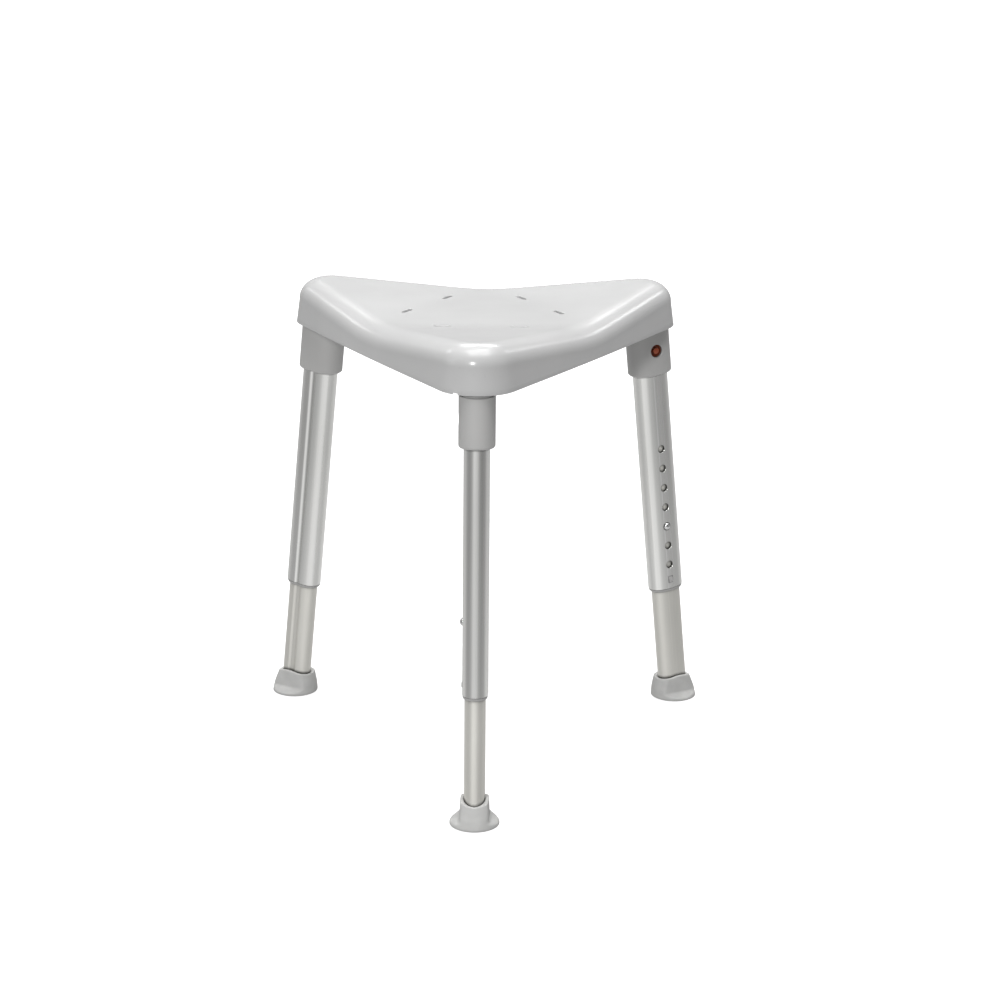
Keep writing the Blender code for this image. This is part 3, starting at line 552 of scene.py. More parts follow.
def seat_shoulder(drop, steps):
    """Rings from the rim's wall up over the rounded shoulder to the top's edge."""
    rim, inner = seat_outline(drop), seat_outline(SEAT_ROUND_ACROSS + drop)
    top = seat_height(inner, drop)
    wall = top - SEAT_ROUND_UP - SEAT_RIM_Z
    lean = wall * math.tan(SEAT_DRAFT) / SEAT_ROUND_ACROSS
    rings = []
    for share in np.linspace(0, 1, 5)[1:-1]:
        points = rim + (inner - rim) * (lean * share)[:, None]
        rings.append(np.column_stack([points, SEAT_RIM_Z + wall * share]))
    for angle in np.linspace(0, math.pi / 2, steps + 1):
        across = 1 - math.cos(angle) ** (2 / SEAT_ROUND_POWER)
        up = math.sin(angle) ** (2 / SEAT_ROUND_POWER)
        points = rim + (inner - rim) * (lean + (1 - lean) * across)[:, None]
        rise = (seat_height(points, drop) - top) * across ** 4
        rings.append(np.column_stack([points, SEAT_RIM_Z + wall + SEAT_ROUND_UP * up + rise]))
    return rings


def seat_top(drop, count):
    """Rings from the top's edge in to its middle."""
    edge = seat_outline(SEAT_ROUND_ACROSS + drop)
    rings = []
    for share in np.linspace(1, 0, count + 1)[1:-1]:
        points = edge * share
        rings.append(np.column_stack([points, seat_height(points, drop)]))
    return rings


def seat_rim():
    """Rings round the rim's lower edge, from inside to outside."""
    rings = []
    for angle in np.radians(np.linspace(180, 360, 11)):
        inset = SEAT_WALL / 2 * (1 - math.cos(angle))
        rings.append(at(seat_outline(inset), SEAT_RIM_Z + SEAT_EDGE * (1 + math.sin(angle))))
    return rings


def seat_rib(angle, start, finish):
    """Upright rib that follows the underside of the seat, with a softened lower edge."""
    along = direction(angle)
    across = sideways(along)
    half, soft = RIB_THICKNESS / 2, RIB_EDGE
    rings = []
    for reach in np.linspace(start, finish, 24):
        centre = along * reach
        top = float(seat_height(centre[None])[0]) - SEAT_WALL / 2
        outline = ((-half, top), (-half, RIB_BOTTOM_Z + soft), (-half + soft, RIB_BOTTOM_Z),
                   (half - soft, RIB_BOTTOM_Z), (half, RIB_BOTTOM_Z + soft), (half, top))
        rings.append([(*(centre + across * side), z) for side, z in outline])
    return skin("rib", rings)


def seat_ring_rib():
    """Round rib in the middle of the underside."""
    low, high = RIB_BOTTOM_Z + RIB_RING_RISE, SEAT_FLAT_Z - SEAT_WALL / 2
    inner, outer = RIB_RING_RADIUS - RIB_THICKNESS / 2, RIB_RING_RADIUS + RIB_THICKNESS / 2
    profile = [(inner, high), (inner, low + RIB_EDGE), (inner + RIB_EDGE, low),
               (outer - RIB_EDGE, low), (outer, low + RIB_EDGE), (outer, high)]
    return skin("ring_rib", [circle(radius, z, 120) for radius, z in profile], closed=True)


def stadium(length, width, count=40):
    """Slot outline, long along X."""
    turn = (np.arange(count) + 0.5) * 2 * np.pi / count
    reach = np.sign(np.cos(turn)) * (length - width) / 2
    return np.stack([width / 2 * np.cos(turn) + reach, width / 2 * np.sin(turn)], 1)


def slot_cutter(along, side):
    """One drain slot whose upper edge flares in a quarter round at the seat's surface."""
    across = sideways(along)
    centre = along * SLOT_ALONG + across * SLOT_ACROSS * side
    profile = [(0.0, -SEAT_WALL * 4)]
    for angle in np.radians(np.arange(0, 91, 15)):
        profile.append((SLOT_EDGE * (1 - math.cos(angle)), SLOT_EDGE * (math.sin(angle) - 1)))
    profile.append((SLOT_EDGE, SLOT_EDGE * 3))
    rings = []
    for grow, lift in profile:
        outline = stadium(SLOT_LENGTH + 2 * grow, SLOT_WIDTH + 2 * grow)
        spots = centre + outline[:, :1] * across + outline[:, 1:] * along
        rings.append(np.column_stack([spots, seat_height(spots) + lift]))
    return skin("slot", rings)


def block(low, high):
    """A plain cutting block between two corners."""
    corners = ((low[0], low[1]), (high[0], low[1]), (high[0], high[1]), (low[0], high[1]))
    return skin("block", [[(x, y, z) for x, y in corners] for z in (low[2], high[2])])


def screw_places(corner):
    """Frames of one leg's two flange screws, in the seat frame."""
    along = np.array(corner)
    spots = [along * SCREW_RADIUS_AT + sideways(along) * SCREW_ACROSS * side for side in (-1, 1)]
    return [Matrix.Translation((*spot, 0)) for spot in spots]


SCREWS = {leg: screw_places(corner) for leg, corner in zip(LEGS, CORNERS)}


def seat_rib_tools():
    """The ring rib and the six ribs that run out from it."""
    still = Matrix.Identity(4)
    tools = [(seat_ring_rib(), still, "UNION")]
    for corner in CORNERS:
        angle = math.atan2(corner.y, corner.x)
        tools.append((seat_rib(angle, RIB_RING_RADIUS, RIB_CORNER_END), still, "UNION"))
        tools.append((seat_rib(angle + math.pi / 3, RIB_RING_RADIUS, RIB_SIDE_END), still, "UNION"))
    return tools


def seat_fixing_tools(leg, places):
    """One leg's two drilled screw bosses and the pad that its socket bears on."""
    tools = []
    low = FLANGE_TOP_Z + GAP
    tip = FLANGE_TOP_Z - FLANGE_THICKNESS + SCREW_LENGTH + 2 * GAP
    for place in places:
        top = float(seat_height(np.array([place.translation.xy]))[0]) - SEAT_WALL / 2
        edge = BOSS_RADIUS - BOSS_EDGE
        boss = turned("boss", [(edge, low), (BOSS_RADIUS, low + BOSS_EDGE), (BOSS_RADIUS, top)])
        tools.append((boss, place, "UNION"))
        pilot = turned("pilot", [(SCREW_SHANK + GAP, low - SEAT_WALL), (SCREW_SHANK + GAP, tip)], 24)
        tools.append((pilot, place, "DIFFERENCE"))
    outline = oval(PAD_RADIUS, PAD_RADIUS, 48)
    pad = skin("pad", [at(outline, NECK_TOP + GAP), level(outline, PAD_TOP_Z)])
    tools.append((pad, SEAT_FRAME.inverted() @ LEG_FRAMES[leg], "UNION"))
    return tools


def seat_opening_tools(corner):
    """One lobe's two drain slots and the notch in the rim."""
    along = np.array(corner)
    tools = [(slot_cutter(along, side), Matrix.Identity(4), "DIFFERENCE") for side in (-1, 1)]
    notch = block(
        (NOTCH_INNER, -NOTCH_ACROSS - NOTCH_WIDTH / 2, SEAT_RIM_Z - NOTCH_HEIGHT),
        (NOTCH_OUTER, -NOTCH_ACROSS + NOTCH_WIDTH / 2, SEAT_RIM_Z + NOTCH_HEIGHT),
    )
    tools.append((notch, Matrix.Rotation(math.atan2(corner.y, corner.x), 4, "Z"), "DIFFERENCE"))
    return tools


def build_seat():
    """Moulded shell with ribs, bosses, bearing pads, drain slots and rim notches."""
    rings = seat_top(SEAT_WALL, 30)[::-1] + seat_shoulder(SEAT_WALL, 8)[::-1] + seat_rim()
    rings += seat_shoulder(0.0, 22) + seat_top(0.0, 48)
    tools = seat_rib_tools()
    for leg, places in SCREWS.items():
        tools += seat_fixing_tools(leg, places)
    for corner in CORNERS:
        tools += seat_opening_tools(corner)
    shell = carved(skin("seat", rings), tools)
    add_piece("seat", shell, "seat_plastic", "seat_frame", "seat_shell", SEAT_FRAME)


# -------------------------------------------------------------------------- legs


def drill(radius, start, surface, flare):
    """Round cutter along a button's axis that flares into a chamfer at the surface."""
    wide, past = radius + flare * (1 + FLARE_PAST), surface + flare * FLARE_PAST
    end = surface * CUTTER_REACH
    return turned("drill", [(radius, start), (radius, surface - flare), (wide, past), (wide, end)])


def socket_rings():
    """Rings up the bore, round the collar's lower lip, up the collar and round the neck."""
    shoulder_z = SEAT_RIM_Z - GAP
    ledge_z = shoulder_z - COLLAR_RECESS_HEIGHT

    def bore(grow):
        return oval(TUBE_U + SOCKET_CLEARANCE + grow, TUBE_V + SOCKET_CLEARANCE + grow)

    def collar(inset):
        return oval(COLLAR_U - inset, COLLAR_V - inset)

    lead = BORE_LEAD_IN
    rings = [at(bore(0), TUBE_TOP + GAP)]
    for grow, rise in ((0, lead), (0.3 * MM, 0.2 * MM), (lead, 0)):
        rings.append(at(bore(grow), COLLAR_BOTTOM + rise))
    for inset, rise in arc((COLLAR_ROUND, COLLAR_ROUND), (COLLAR_ROUND, COLLAR_ROUND), -90, -180, 8):
        rings.append(at(collar(inset), COLLAR_BOTTOM + rise))
    for share in (0.3, 0.6):
        rings.append(at(collar(0), COLLAR_BOTTOM + (SEAT_RIM_Z - COLLAR_BOTTOM) * share))
    return rings + [
        level(collar(0), ledge_z - 0.6 * MM),
        level(collar(0.5 * MM), ledge_z),
        level(collar(COLLAR_RECESS), ledge_z),
        level(collar(COLLAR_RECESS), shoulder_z),
        level(oval(NECK_U, NECK_V), shoulder_z),
        at(oval(NECK_U, NECK_V), NECK_TOP - NECK_EDGE),
        at(oval(NECK_U - NECK_EDGE, NECK_V - NECK_EDGE), NECK_TOP),
    ]


def build_socket(leg):
    """Collar under the rim, neck inside the seat and the flange screwed to its bosses."""
    to_leg = LEG_FRAMES[leg].inverted() @ SEAT_FRAME
    corner = CORNERS[LEGS.index(leg)]
    turn = Matrix.Rotation(math.atan2(corner.y, corner.x), 4, "Z")
    edge = FLANGE_EDGE
    steps = ((edge, -FLANGE_THICKNESS), (0, edge - FLANGE_THICKNESS), (0, -edge), (edge, 0))
    plate = skin("flange", [at(flange_outline(inset), FLANGE_TOP_Z + z) for inset, z in steps])
    hole = drill(RELEASE_HOLE_RADIUS, LEG_V / 2, COLLAR_V, RELEASE_HOLE_CHAMFER)
    tools = [(plate, to_leg @ turn, "UNION"), (hole, side_frame(RELEASE_HEIGHT), "DIFFERENCE")]
    bore = SCREW_SHANK + GAP
    shaft = turned("shaft", [(bore, FLANGE_TOP_Z - 3 * FLANGE_THICKNESS), (bore, FLANGE_TOP_Z + GAP)], 24)
    tools += [(shaft, to_leg @ place, "DIFFERENCE") for place in SCREWS[leg]]
    mesh = carved(skin("socket", socket_rings()), tools)
    add_leg_piece(leg, "socket", mesh, "socket_plastic", "seat_frame")


def flange_outline(inset):
    """Plate outline in the seat frame turned to the leg, with rounded inner corners."""
    low, high = FLANGE_INNER + inset, FLANGE_OUTER
    half = FLANGE_HALF_WIDTH - inset
    r = FLANGE_CORNER - inset
    points = [(high, half)]
    points += arc((low + r, half - r), (r, r), 90, 180, 8)
    points += arc((low + r, r - half), (r, r), 180, 270, 8)
    points += [(high, -half)]
    return np.array(points)


def build_screws(leg):
    """Pan-head screws with a cross recess, driven up through the flange."""
    under_head = FLANGE_TOP_Z - FLANGE_THICKNESS - GAP
    low = under_head - SCREW_HEAD_HEIGHT
    profile = [(SCREW_HEAD_FLAT, low)]
    for angle in np.radians(np.arange(10, 91, 10)):
        crown = (SCREW_HEAD_HEIGHT - SCREW_HEAD_EDGE) * math.cos(angle)
        profile.append((SCREW_HEAD * math.sin(angle), under_head - SCREW_HEAD_EDGE - crown))
    profile += [(SCREW_HEAD, under_head), (SCREW_SHANK, under_head)]
    for ring in range(SCREW_RINGS):
        height = under_head + SCREW_LENGTH * (ring + 1) / (SCREW_RINGS + 2)
        profile += [(SCREW_SHANK, height), (SCREW_SHANK - THREAD_DEPTH, height + THREAD_DEPTH * 0.9)]
    profile += [(SCREW_SHANK / 2, under_head + SCREW_LENGTH)]
    reach, half, floor = SCREW_CROSS_REACH, SCREW_CROSS_HALF, low + SCREW_CROSS_DEPTH
    arms = [block((-u, -v, low - MM), (u, v, floor)) for u, v in ((reach, half), (half, reach))]
    tools = [(arm, Matrix.Identity(4), "DIFFERENCE") for arm in arms]
    for label, place in zip("ab", SCREWS[leg]):
        mesh = carved(turned("screw", profile, 32), tools)
        add_leg_piece(leg, f"screw_{label}", mesh, "screw_steel", "seat_frame", SEAT_FRAME @ place)


def tube_mesh(name, half_u, half_v, wall, low, high, grow=0.0):
    """Grooved tube with softened ends."""
    soft = TUBE_EDGE
    outside = grooved(half_u, half_v, grow)
    eased = grooved(half_u - soft, half_v - soft, grow)
    inside = grooved(half_u - wall, half_v - wall, grow + wall / 2)
    return skin(name, [
        at(eased, low), at(outside, low + soft), at(outside, (low + high) / 2), at(outside, high - soft),
        at(eased, high), at(inside, high), at(inside, low),
    ], closed=True)


def in_tube(inset=0.0):
    """Section of a part that fits inside the outer tube."""
    fit_u, fit_v = TUBE_U - TUBE_WALL - GAP, TUBE_V - TUBE_WALL - GAP
    return grooved(fit_u - inset, fit_v - inset, TUBE_WALL / 2 + GAP)


def build_tube(leg):
    """Outer tube with its round holes and the window for the bushing's snap tab."""
    mesh = tube_mesh("outer_tube", TUBE_U, TUBE_V, TUBE_WALL, TUBE_BOTTOM, TUBE_TOP)
    holes = [(HOLE_RADIUS, TOP_HOLE - step * HOLE_PITCH) for step in range(HOLE_COUNT)]
    tools = []
    for radius, height in (*holes, (RELEASE_RADIUS + GAP, RELEASE_HEIGHT)):
        hole = drill(radius, LEG_V / 2, TUBE_V, HOLE_CHAMFER)
        tools.append((hole, side_frame(height), "DIFFERENCE"))
    wide, tall = TAB_WIDTH / 2 + WINDOW_GAP, TAB_LENGTH / 2 + WINDOW_GAP
    window = block((-wide, -tall, LEG_V), (wide, tall, TUBE_V * CUTTER_REACH))
    tools.append((window, side_frame(TAB_HEIGHT), "DIFFERENCE"))
    add_leg_piece(leg, "outer_tube", carved(mesh, tools), "tube_aluminium", "seat_frame")


def snap_tab():
    """Barb that holds the bushing in the tube: flush at its lead-in, proud at its catch."""
    wide, tall = TAB_WIDTH / 2, TAB_LENGTH / 2
    low, proud, slope = LEG_V + 2 * GAP, TUBE_V + TAB_PROUD, TAB_SLOPE
    side = [(-tall, low), (-tall, proud - slope), (slope - tall, proud), (GAP, proud),
            (tall, TUBE_V - slope), (tall, low)]
    return skin("snap_tab", [[(x, y, z) for y, z in side] for x in (-wide, wide)])


def build_bushing(leg):
    """Plastic guide pressed into the tube's lower end, with a short tapered nose."""
    bore = grooved(LEG_U + GAP, LEG_V + GAP, TUBE_WALL + GAP)
    nose_low = extent(f"{leg}_end_bushing", LEG_FRAMES[leg])[0].z
    top = TUBE_BOTTOM - GAP
    rings = [at(in_tube(), BUSHING_TOP), at(in_tube(), top)]
    for angle in np.linspace(0, math.pi / 2, NOSE_STEPS + 1):
        share = 1 - math.cos(angle)
        u = TUBE_U - GAP - (TUBE_U - LEG_U - NOSE_WALL) * share
        v = TUBE_V - GAP - (TUBE_V - LEG_V - NOSE_WALL) * share
        drop = (top - nose_low) * math.sin(angle) ** NOSE_POWER
        rings.append(at(grooved(u, v, TUBE_WALL * share), top - drop))
    rings += [at(bore, nose_low), at(bore, BUSHING_TOP)]
    mesh = carved(skin("end_bushing", rings, closed=True), [(snap_tab(), side_frame(TAB_HEIGHT), "UNION")])
    add_leg_piece(leg, "end_bushing", mesh, "bushing_plastic", "seat_frame")


def build_carrier(leg):
    """Block in the tube's top that holds the release button and its spring."""
    eased, section = in_tube(2 * GAP), in_tube()
    mesh = skin("top_carrier", [at(eased, CARRIER_BOTTOM), at(section, CARRIER_BOTTOM + 2 * GAP),
                                at(section, TUBE_TOP - 2 * GAP), at(eased, TUBE_TOP)])
    pocket = turned("pocket", [(RELEASE_BORE_RADIUS, -RELEASE_BORE_END), (RELEASE_BORE_RADIUS, TUBE_V)])
    mesh = carved(mesh, [(pocket, side_frame(RELEASE_HEIGHT), "DIFFERENCE")])
    add_leg_piece(leg, "top_carrier", mesh, "bushing_plastic", "seat_frame")


def release_profile():
    """Flange, shank with a rounded rim, and a well round the raised boss in the middle."""
    rim, well = RELEASE_TIP - RELEASE_RIM_DROP, RELEASE_TIP - RELEASE_WELL_DROP
    edge, fillet, crown = RELEASE_RIM_EDGE, RELEASE_WELL_FILLET, RELEASE_BOSS_CROWN
    boss = RELEASE_BOSS_RADIUS
    profile = [(RELEASE_FLANGE_RADIUS, RELEASE_FLANGE_TOP - RELEASE_FLANGE_THICKNESS),
               (RELEASE_FLANGE_RADIUS, RELEASE_FLANGE_TOP), (RELEASE_RADIUS, RELEASE_FLANGE_TOP),
               (RELEASE_RADIUS, rim - edge)]
    profile += arc((RELEASE_RADIUS - edge, rim - edge), (edge, edge), 0, 90, 5)
    profile += [(RELEASE_RADIUS - edge - GAP, rim)]
    profile += arc((boss + fillet, well + fillet), (fillet, fillet), -30, -90, 5)
    profile += [(boss, well), (boss, RELEASE_TIP - crown)]
    return profile + arc((0.1 * MM, RELEASE_TIP - crown), (boss - 0.1 * MM, crown), 10, 90, 12)


def coil_rings(start, rise):
    """Round wire wound up the button's axis."""
    section = np.linspace(0, 2 * np.pi, COIL_SECTION, endpoint=False)
    rings = []
    for i in range(COIL_STEPS * COIL_TURNS + 1):
        angle = 2 * math.pi * i / COIL_STEPS
        out = np.array([math.cos(angle), math.sin(angle), 0])
        centre = out * COIL_RADIUS + np.array([0, 0, start + rise * i / (COIL_STEPS * COIL_TURNS)])
        spokes = [out * math.cos(a) + np.array([0, 0, math.sin(a)]) for a in section]
        rings.append([centre + spoke * COIL_WIRE for spoke in spokes])
    return rings


def build_release(leg):
    """Orange release button with a raised middle, and the coil spring behind it."""
    place = LEG_FRAMES[leg] @ side_frame(RELEASE_HEIGHT)
    button = turned("release_button", release_profile(), 64)
    add_leg_piece(leg, "release_button", button, "release_orange", f"{leg}_release", place)
    bottom = RELEASE_FLANGE_TOP - RELEASE_FLANGE_THICKNESS
    start = -RELEASE_BORE_END + COIL_WIRE + GAP
    rings = coil_rings(start, bottom - GAP - COIL_WIRE - start)
    mesh = skin("release_spring", rings)
    coil = add_leg_piece(leg, "release_spring", mesh, "spring_steel", "seat_frame", place)
    squash_spring(coil)


def squash_spring(obj):
    """Gives a spring object its own copy of its mesh."""
    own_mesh(obj)


def build_inner_leg(leg):
    """Sliding leg with the hole that its snap button comes out of."""
    mesh = tube_mesh("inner_leg", LEG_U, LEG_V, LEG_WALL, LEG_BOTTOM, LEG_TOP, TUBE_WALL)
    hole = drill(SNAP_RADIUS + GAP, LEG_V / 3, LEG_V, LEG_HOLE_CHAMFER)
    mesh = carved(mesh, [(hole, side_frame(SNAP_HEIGHT), "DIFFERENCE")])
    add_leg_piece(leg, "inner_leg", mesh, "leg_aluminium", f"{leg}_leg")


def build_plug(leg):
    """Guide on the inner leg's top: a spigot in the leg and a cap that slides in the tube."""
    spigot = grooved(LEG_U - LEG_WALL - GAP, LEG_V - LEG_WALL - GAP, TUBE_WALL + LEG_WALL / 2 + GAP)
    low, seat = extent(f"{leg}_guide_plug", LEG_FRAMES[leg])[0].z, LEG_TOP + GAP
    mesh = skin("guide_plug", [
        at(spigot, low), at(spigot, seat), at(in_tube(), seat),
        at(in_tube(), PLUG_TOP - PLUG_EDGE), at(in_tube(PLUG_EDGE), PLUG_TOP),
    ])
    add_leg_piece(leg, "guide_plug", mesh, "bushing_plastic", f"{leg}_leg")


def leaf_rings(near, far):
    """Strip of spring steel that is folded back on itself below the button."""
    bend = (near - far) / 2 - LEAF_THICKNESS
    fold = (2 * LEAF_THICKNESS + bend - LEAF_LENGTH, (near + far) / 2)
    path = [(LEAF_NEAR_END, near), (LEAF_FOLD_START, near)]
    path += arc(fold, (bend, near - fold[1]), 90, 270, 20)
    path = np.array(path + [(LEAF_FOLD_START, far), (LEAF_FAR_END, far)])
    run = np.gradient(path, axis=0)
    run /= np.linalg.norm(run, axis=1)[:, None]
    inward = np.stack([-run[:, 1], run[:, 0]], 1) * LEAF_THICKNESS
    half = LEAF_WIDTH / 2
    rings = []
    for (y, z), (dy, dz) in zip(path, inward):
        rings.append([(-half, y, z), (half, y, z), (half, y + dy, z + dz), (-half, y + dy, z + dz)])
    return rings


def build_snap(leg):
    """Chrome snap button and the folded leaf spring that pushes it out."""
    place = LEG_FRAMES[leg] @ side_frame(SNAP_HEIGHT)
    bottom, shoulder = SNAP_FLANGE_TOP - SNAP_FLANGE_THICKNESS, TUBE_V - SNAP_SHOULDER
    profile = [(SNAP_FLANGE_RADIUS, bottom), (SNAP_FLANGE_RADIUS, SNAP_FLANGE_TOP),
               (SNAP_RADIUS, SNAP_FLANGE_TOP), (SNAP_RADIUS, shoulder)]
    profile += arc((SNAP_FLAT, shoulder), (SNAP_RADIUS - SNAP_FLAT, SNAP_TIP - shoulder), 5, 90, 16)
    button = turned("snap_button", profile)
    add_leg_piece(leg, "snap_button", button, "snap_chrome", f"{leg}_snap", place)

    near, far = bottom - GAP, -(LEG_V - GROOVE_DEPTH - LEG_WALL - GAP)
    mesh = skin("snap_spring", leaf_rings(near, far))
    leaf = add_leg_piece(leg, "snap_spring", mesh, "spring_steel", f"{leg}_leg", place)
    squash_spring(leaf)


# -------------------------------------------------------------------------- feet


def foot_top(theta):
    """Height of the collar's edge: low at front and back, high over the cheeks' outer halves."""
    side = abs(np.sin(theta))
    return FOOT_COLLAR_LOW + FOOT_COLLAR_RISE * side ** 1.5 + FOOT_COLLAR_TILT * side * np.cos(theta)


def foot_outside(theta, z):
    """Distance from the leg's axis: a round dome whose two sides are cut back to flat cheeks."""
    dome = np.interp(z, FOOT_DOME_HEIGHTS, FOOT_DOME_RADII)
    flat = np.interp(z, (FOOT_WAIST, FOOT_COLLAR_LOW), (FOOT_CHEEK_LOW, FOOT_CHEEK))
    away = 1 - np.clip((z - FOOT_FLANGE) / (FOOT_WAIST - FOOT_FLANGE), 0, 1)
    flat += (FOOT_FLARE - FOOT_CHEEK_LOW) * away ** FOOT_FLARE_POWER
    cheek = flat / np.maximum(abs(np.sin(theta)), 1e-3)
    return (dome ** -FOOT_SHARPNESS + cheek ** -FOOT_SHARPNESS) ** (-1 / FOOT_SHARPNESS)


def foot_rings():
    """Rings from the sole's middle out, up the dome, over the lip and down the well."""
    theta = np.arange(SECTION_POINTS) * 2 * np.pi / SECTION_POINTS
    still = np.ones(SECTION_POINTS)
    lip_base = foot_top(theta) - FOOT_LIP

    def ring(radius, z):
        return np.column_stack([radius * np.cos(theta) - z * math.tan(LEAN), radius * np.sin(theta), z])

    rings = []
    for start in SOLE_GROOVES:
        for reach, depth in SOLE_GROOVE_SHAPE:
            rings.append(ring(still * (start + reach) * MM, still * depth * MM))
    for height in FOOT_HEIGHTS:
        soft = FOOT_EDGE * np.clip(1 - height / FOOT_EDGE_HEIGHT, 0, 1) ** 2
        rings.append(ring(foot_outside(theta, still * height) - soft, still * height))
    for share in np.linspace(0, 1, 12)[1:]:
        z = FOOT_HEIGHTS[-1] + (lip_base - FOOT_HEIGHTS[-1]) * share
        rings.append(ring(foot_outside(theta, z), z))
    outer = foot_outside(theta, lip_base)
    inner = well_radius(theta, LEG_U + GAP, LEG_V + GAP)
    for angle in np.linspace(0, math.pi, 9)[1:]:
        radius = (outer + inner) / 2 + (outer - inner) / 2 * math.cos(angle)
        rings.append(ring(radius, lip_base + FOOT_LIP * math.sin(angle)))
    floor = (LEG_BOTTOM - GAP + inner * np.cos(theta) * math.sin(LEAN)) / math.cos(LEAN)
    rings += [ring(inner, (lip_base + floor) / 2), ring(inner, floor)]
    return rings


def well_radius(theta, half_u, half_v):
    """Distance to an oval's edge in each direction."""
    c, s = abs(np.cos(theta)) / half_u, abs(np.sin(theta)) / half_v
    return (c ** OVAL_POWER + s ** OVAL_POWER) ** (-1 / OVAL_POWER)


def build_foot(leg):
    """Rubber boot: a level round sole, a dome and a wavy collar with two flat cheeks."""
    mesh = skin("foot", foot_rings())
    add_leg_piece(leg, "foot", mesh, "foot_rubber", f"{leg}_leg", foot_frame(leg), sharp=50)


# ------------------------------------------------------------------------- stage

CAMERA_AZIMUTH, CAMERA_DISTANCE, CAMERA_HEIGHT = 0.025461, 3.02286, 1.19885
CAMERA_YAW, CAMERA_PITCH, CAMERA_ROLL = -0.006975, 0.291382, 0.006537
CAMERA_LENS, CAMERA_SENSOR = 96.55, 36.0
FLOOR_LOW, FLOOR_HIGH = (-14, -14, -0.02), (14, 16, -0.0002)
SKYLIGHT_ANGLE, SKYLIGHT_STRENGTH, LAMP_TARGET_HEIGHT = math.radians(70), 1.4, 0.4
SURROUND_BASE = 0.16
# Direction, the cosines where the glow starts and is full, and its strength.
SURROUND = {
    "below": ((0, 0, -1), 0.0, 0.5, 0.40),
    "behind": ((0, 1, 0), 0.0, 0.6, 0.20),
    "in_front": ((-0.06, -0.95, -0.31), 0.40, 0.95, 0.10),
    "low_in_front": ((-0.06, -0.95, -0.31), 0.82, 0.995, 0.27),
}
FLOOR_GLOW_NEAR, FLOOR_GLOW_FAR = 0.7, 1.0
# Place, size and power.
SOFTBOXES = {
    "overhead": ((0.05, -0.15, 2.6), (1.6, 1.4), 33),
    "key": ((-0.7, -2.9, 1.6), (0.32, 0.5), 39),
    "back": ((0.0, 2.6, 3.0), (2.0, 1.0), 42),
    "left": ((-3.2, -0.6, 1.5), (0.9, 1.8), 5),
    "right": ((3.2, -0.6, 1.5), (0.9, 1.8), 2),
    "rear_left": ((-1.78, 1.37, 1.88), (0.3, 0.4), 3),
    "rear_right": ((1.69, 1.49, 1.88), (0.3, 0.4), 3),
}


def add_camera():
    """Camera at the height of a standing viewer, level with the front leg."""
    data = bpy.data.cameras.new("camera")
    data.lens, data.sensor_width = CAMERA_LENS, CAMERA_SENSOR
    camera = linked("camera", data)
    heading = CAMERA_AZIMUTH + CAMERA_YAW
    level_share, drop = math.cos(CAMERA_PITCH), math.sin(CAMERA_PITCH)
    forward = Vector((-math.sin(heading) * level_share, math.cos(heading) * level_share, -drop))
    right = Vector((math.cos(heading), math.sin(heading), 0))
    up = right.cross(forward)
    c, s = math.cos(CAMERA_ROLL), math.sin(CAMERA_ROLL)
    matrix = Matrix((right * c + up * s, up * c - right * s, -forward)).transposed().to_4x4()
    place = Vector((math.sin(CAMERA_AZIMUTH), -math.cos(CAMERA_AZIMUTH), 0)) * CAMERA_DISTANCE
    matrix.translation = SEAT_FRAME.translation + place + Vector((0, 0, CAMERA_HEIGHT))
    camera.matrix_world = matrix
    bpy.context.scene.camera = camera


def add_softbox(name, place, target, size, power):
    """A rectangular lamp that faces the target."""
    data = bpy.data.lights.new(name, "AREA")
    data.shape = "RECTANGLE"
    data.size, data.size_y = size
    data.energy = power
    lamp = linked(name, data)
    lamp.location = place
    lamp.rotation_mode = "QUATERNION"
    lamp.rotation_quaternion = (Vector(target) - Vector(place)).to_track_quat("-Z", "Y")


def add_skylight():
    """Wide soft light from straight overhead, even over the whole floor."""
    data = bpy.data.lights.new("skylight", "SUN")
    data.energy, data.angle = SKYLIGHT_STRENGTH, SKYLIGHT_ANGLE
    linked("skylight", data)


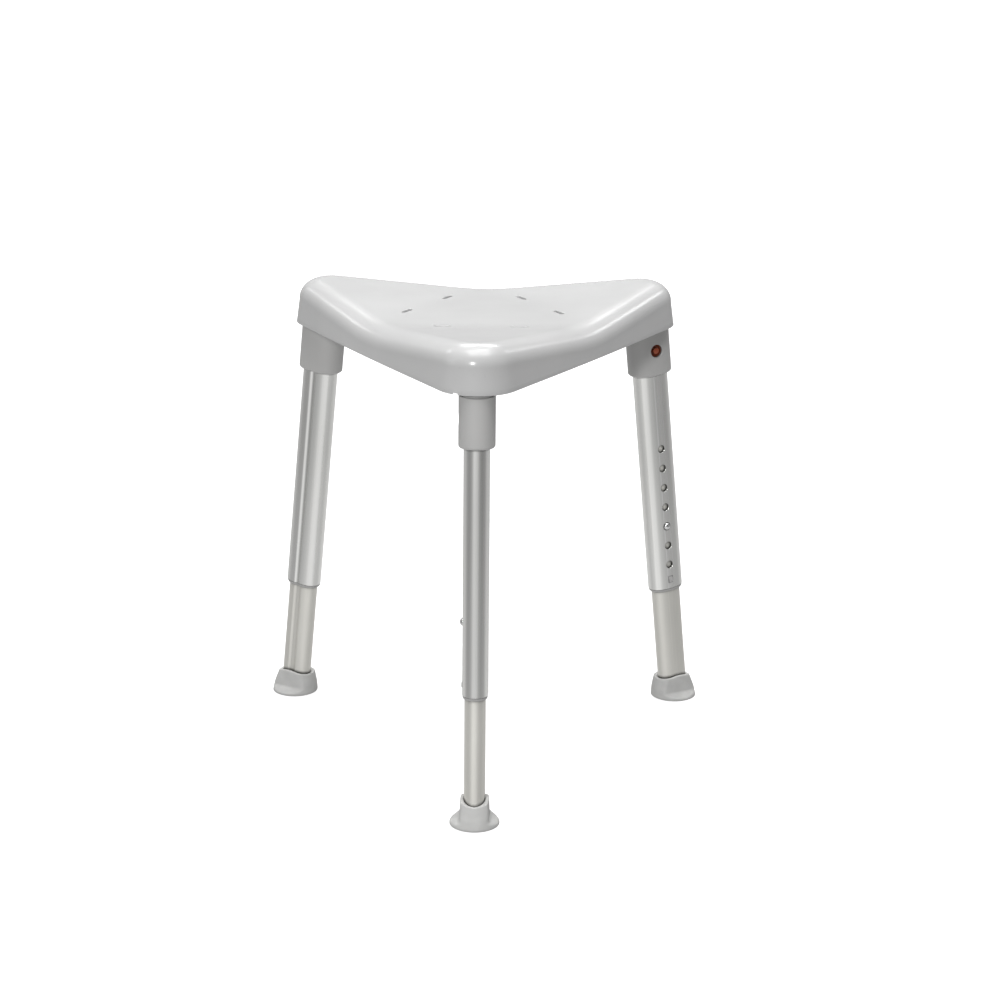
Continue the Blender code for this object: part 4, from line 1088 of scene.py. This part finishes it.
def floor_material():
    """Pale matte paper that the lamps burn out to white, a little less so near the stool."""
    made = Finish("floor", specular=0.0)
    grain = made.ramp(made.noise(3), 0.4, 0.6)
    made.colour(made.mixed(grain, (0.49, 0.49, 0.49), (0.51, 0.51, 0.51)))
    away = made.nodes.new("ShaderNodeVectorMath")
    away.operation = "LENGTH"
    made.links.new(made.place, away.inputs[0])
    glow = made.ramp(away.outputs["Value"], 0.8, 3.5, FLOOR_GLOW_NEAR, FLOOR_GLOW_FAR)
    made.shader.inputs["Roughness"].default_value = 0.9
    made.shader.inputs["Emission Color"].default_value = (1, 1, 1, 1)
    made.links.new(glow, made.shader.inputs["Emission Strength"])
    return made.material


def add_floor():
    """Floor that catches shadows and leaves the light on the stool to the lamps."""
    floor = linked("floor", block(FLOOR_LOW, FLOOR_HIGH))
    floor.data.materials.append(floor_material())
    floor.visible_diffuse = floor.visible_glossy = floor.visible_shadow = False


def add_surround():
    """Dim studio round the stool: paler below and behind, palest low in front."""
    world = bpy.data.worlds.new("studio")
    world.use_nodes = True
    nodes, links = world.node_tree.nodes, world.node_tree.links
    place = nodes.new("ShaderNodeTexCoord").outputs["Generated"]
    total = None
    for name, (towards, low, high, strength) in SURROUND.items():
        facing = nodes.new("ShaderNodeVectorMath")
        facing.operation = "DOT_PRODUCT"
        facing.inputs[1].default_value = Vector(towards).normalized()
        links.new(place, facing.inputs[0])
        glow = nodes.new("ShaderNodeMapRange")
        glow.label = name
        glow.interpolation_type = "SMOOTHSTEP"
        for socket, value in zip(("From Min", "From Max", "To Max"), (low, high, strength)):
            glow.inputs[socket].default_value = value
        links.new(facing.outputs["Value"], glow.inputs["Value"])
        both = nodes.new("ShaderNodeMath")
        both.inputs[0].default_value = SURROUND_BASE
        if total is not None:
            links.new(total, both.inputs[0])
        links.new(glow.outputs["Result"], both.inputs[1])
        total = both.outputs["Value"]
    background = nodes["Background"]
    background.inputs["Color"].default_value = (1, 1, 1, 1)
    links.new(total, background.inputs["Strength"])
    bpy.context.scene.world = world


def add_stage():
    """Plain pale floor, soft lamps and a dim surround."""
    add_floor()
    add_surround()
    bpy.context.scene.view_settings.view_transform = "Standard"
    add_skylight()
    target = (0, SEAT_FRAME.translation.y, LAMP_TARGET_HEIGHT)
    for name, (place, size, power) in SOFTBOXES.items():
        add_softbox(name, place, target, size, power)


def main():
    add_camera()
    add_stage()
    build_seat()
    for leg in LEGS:
        for build in (build_socket, build_screws, build_tube, build_bushing, build_carrier,
                      build_release, build_inner_leg, build_plug, build_snap, build_foot):
            build(leg)


main()
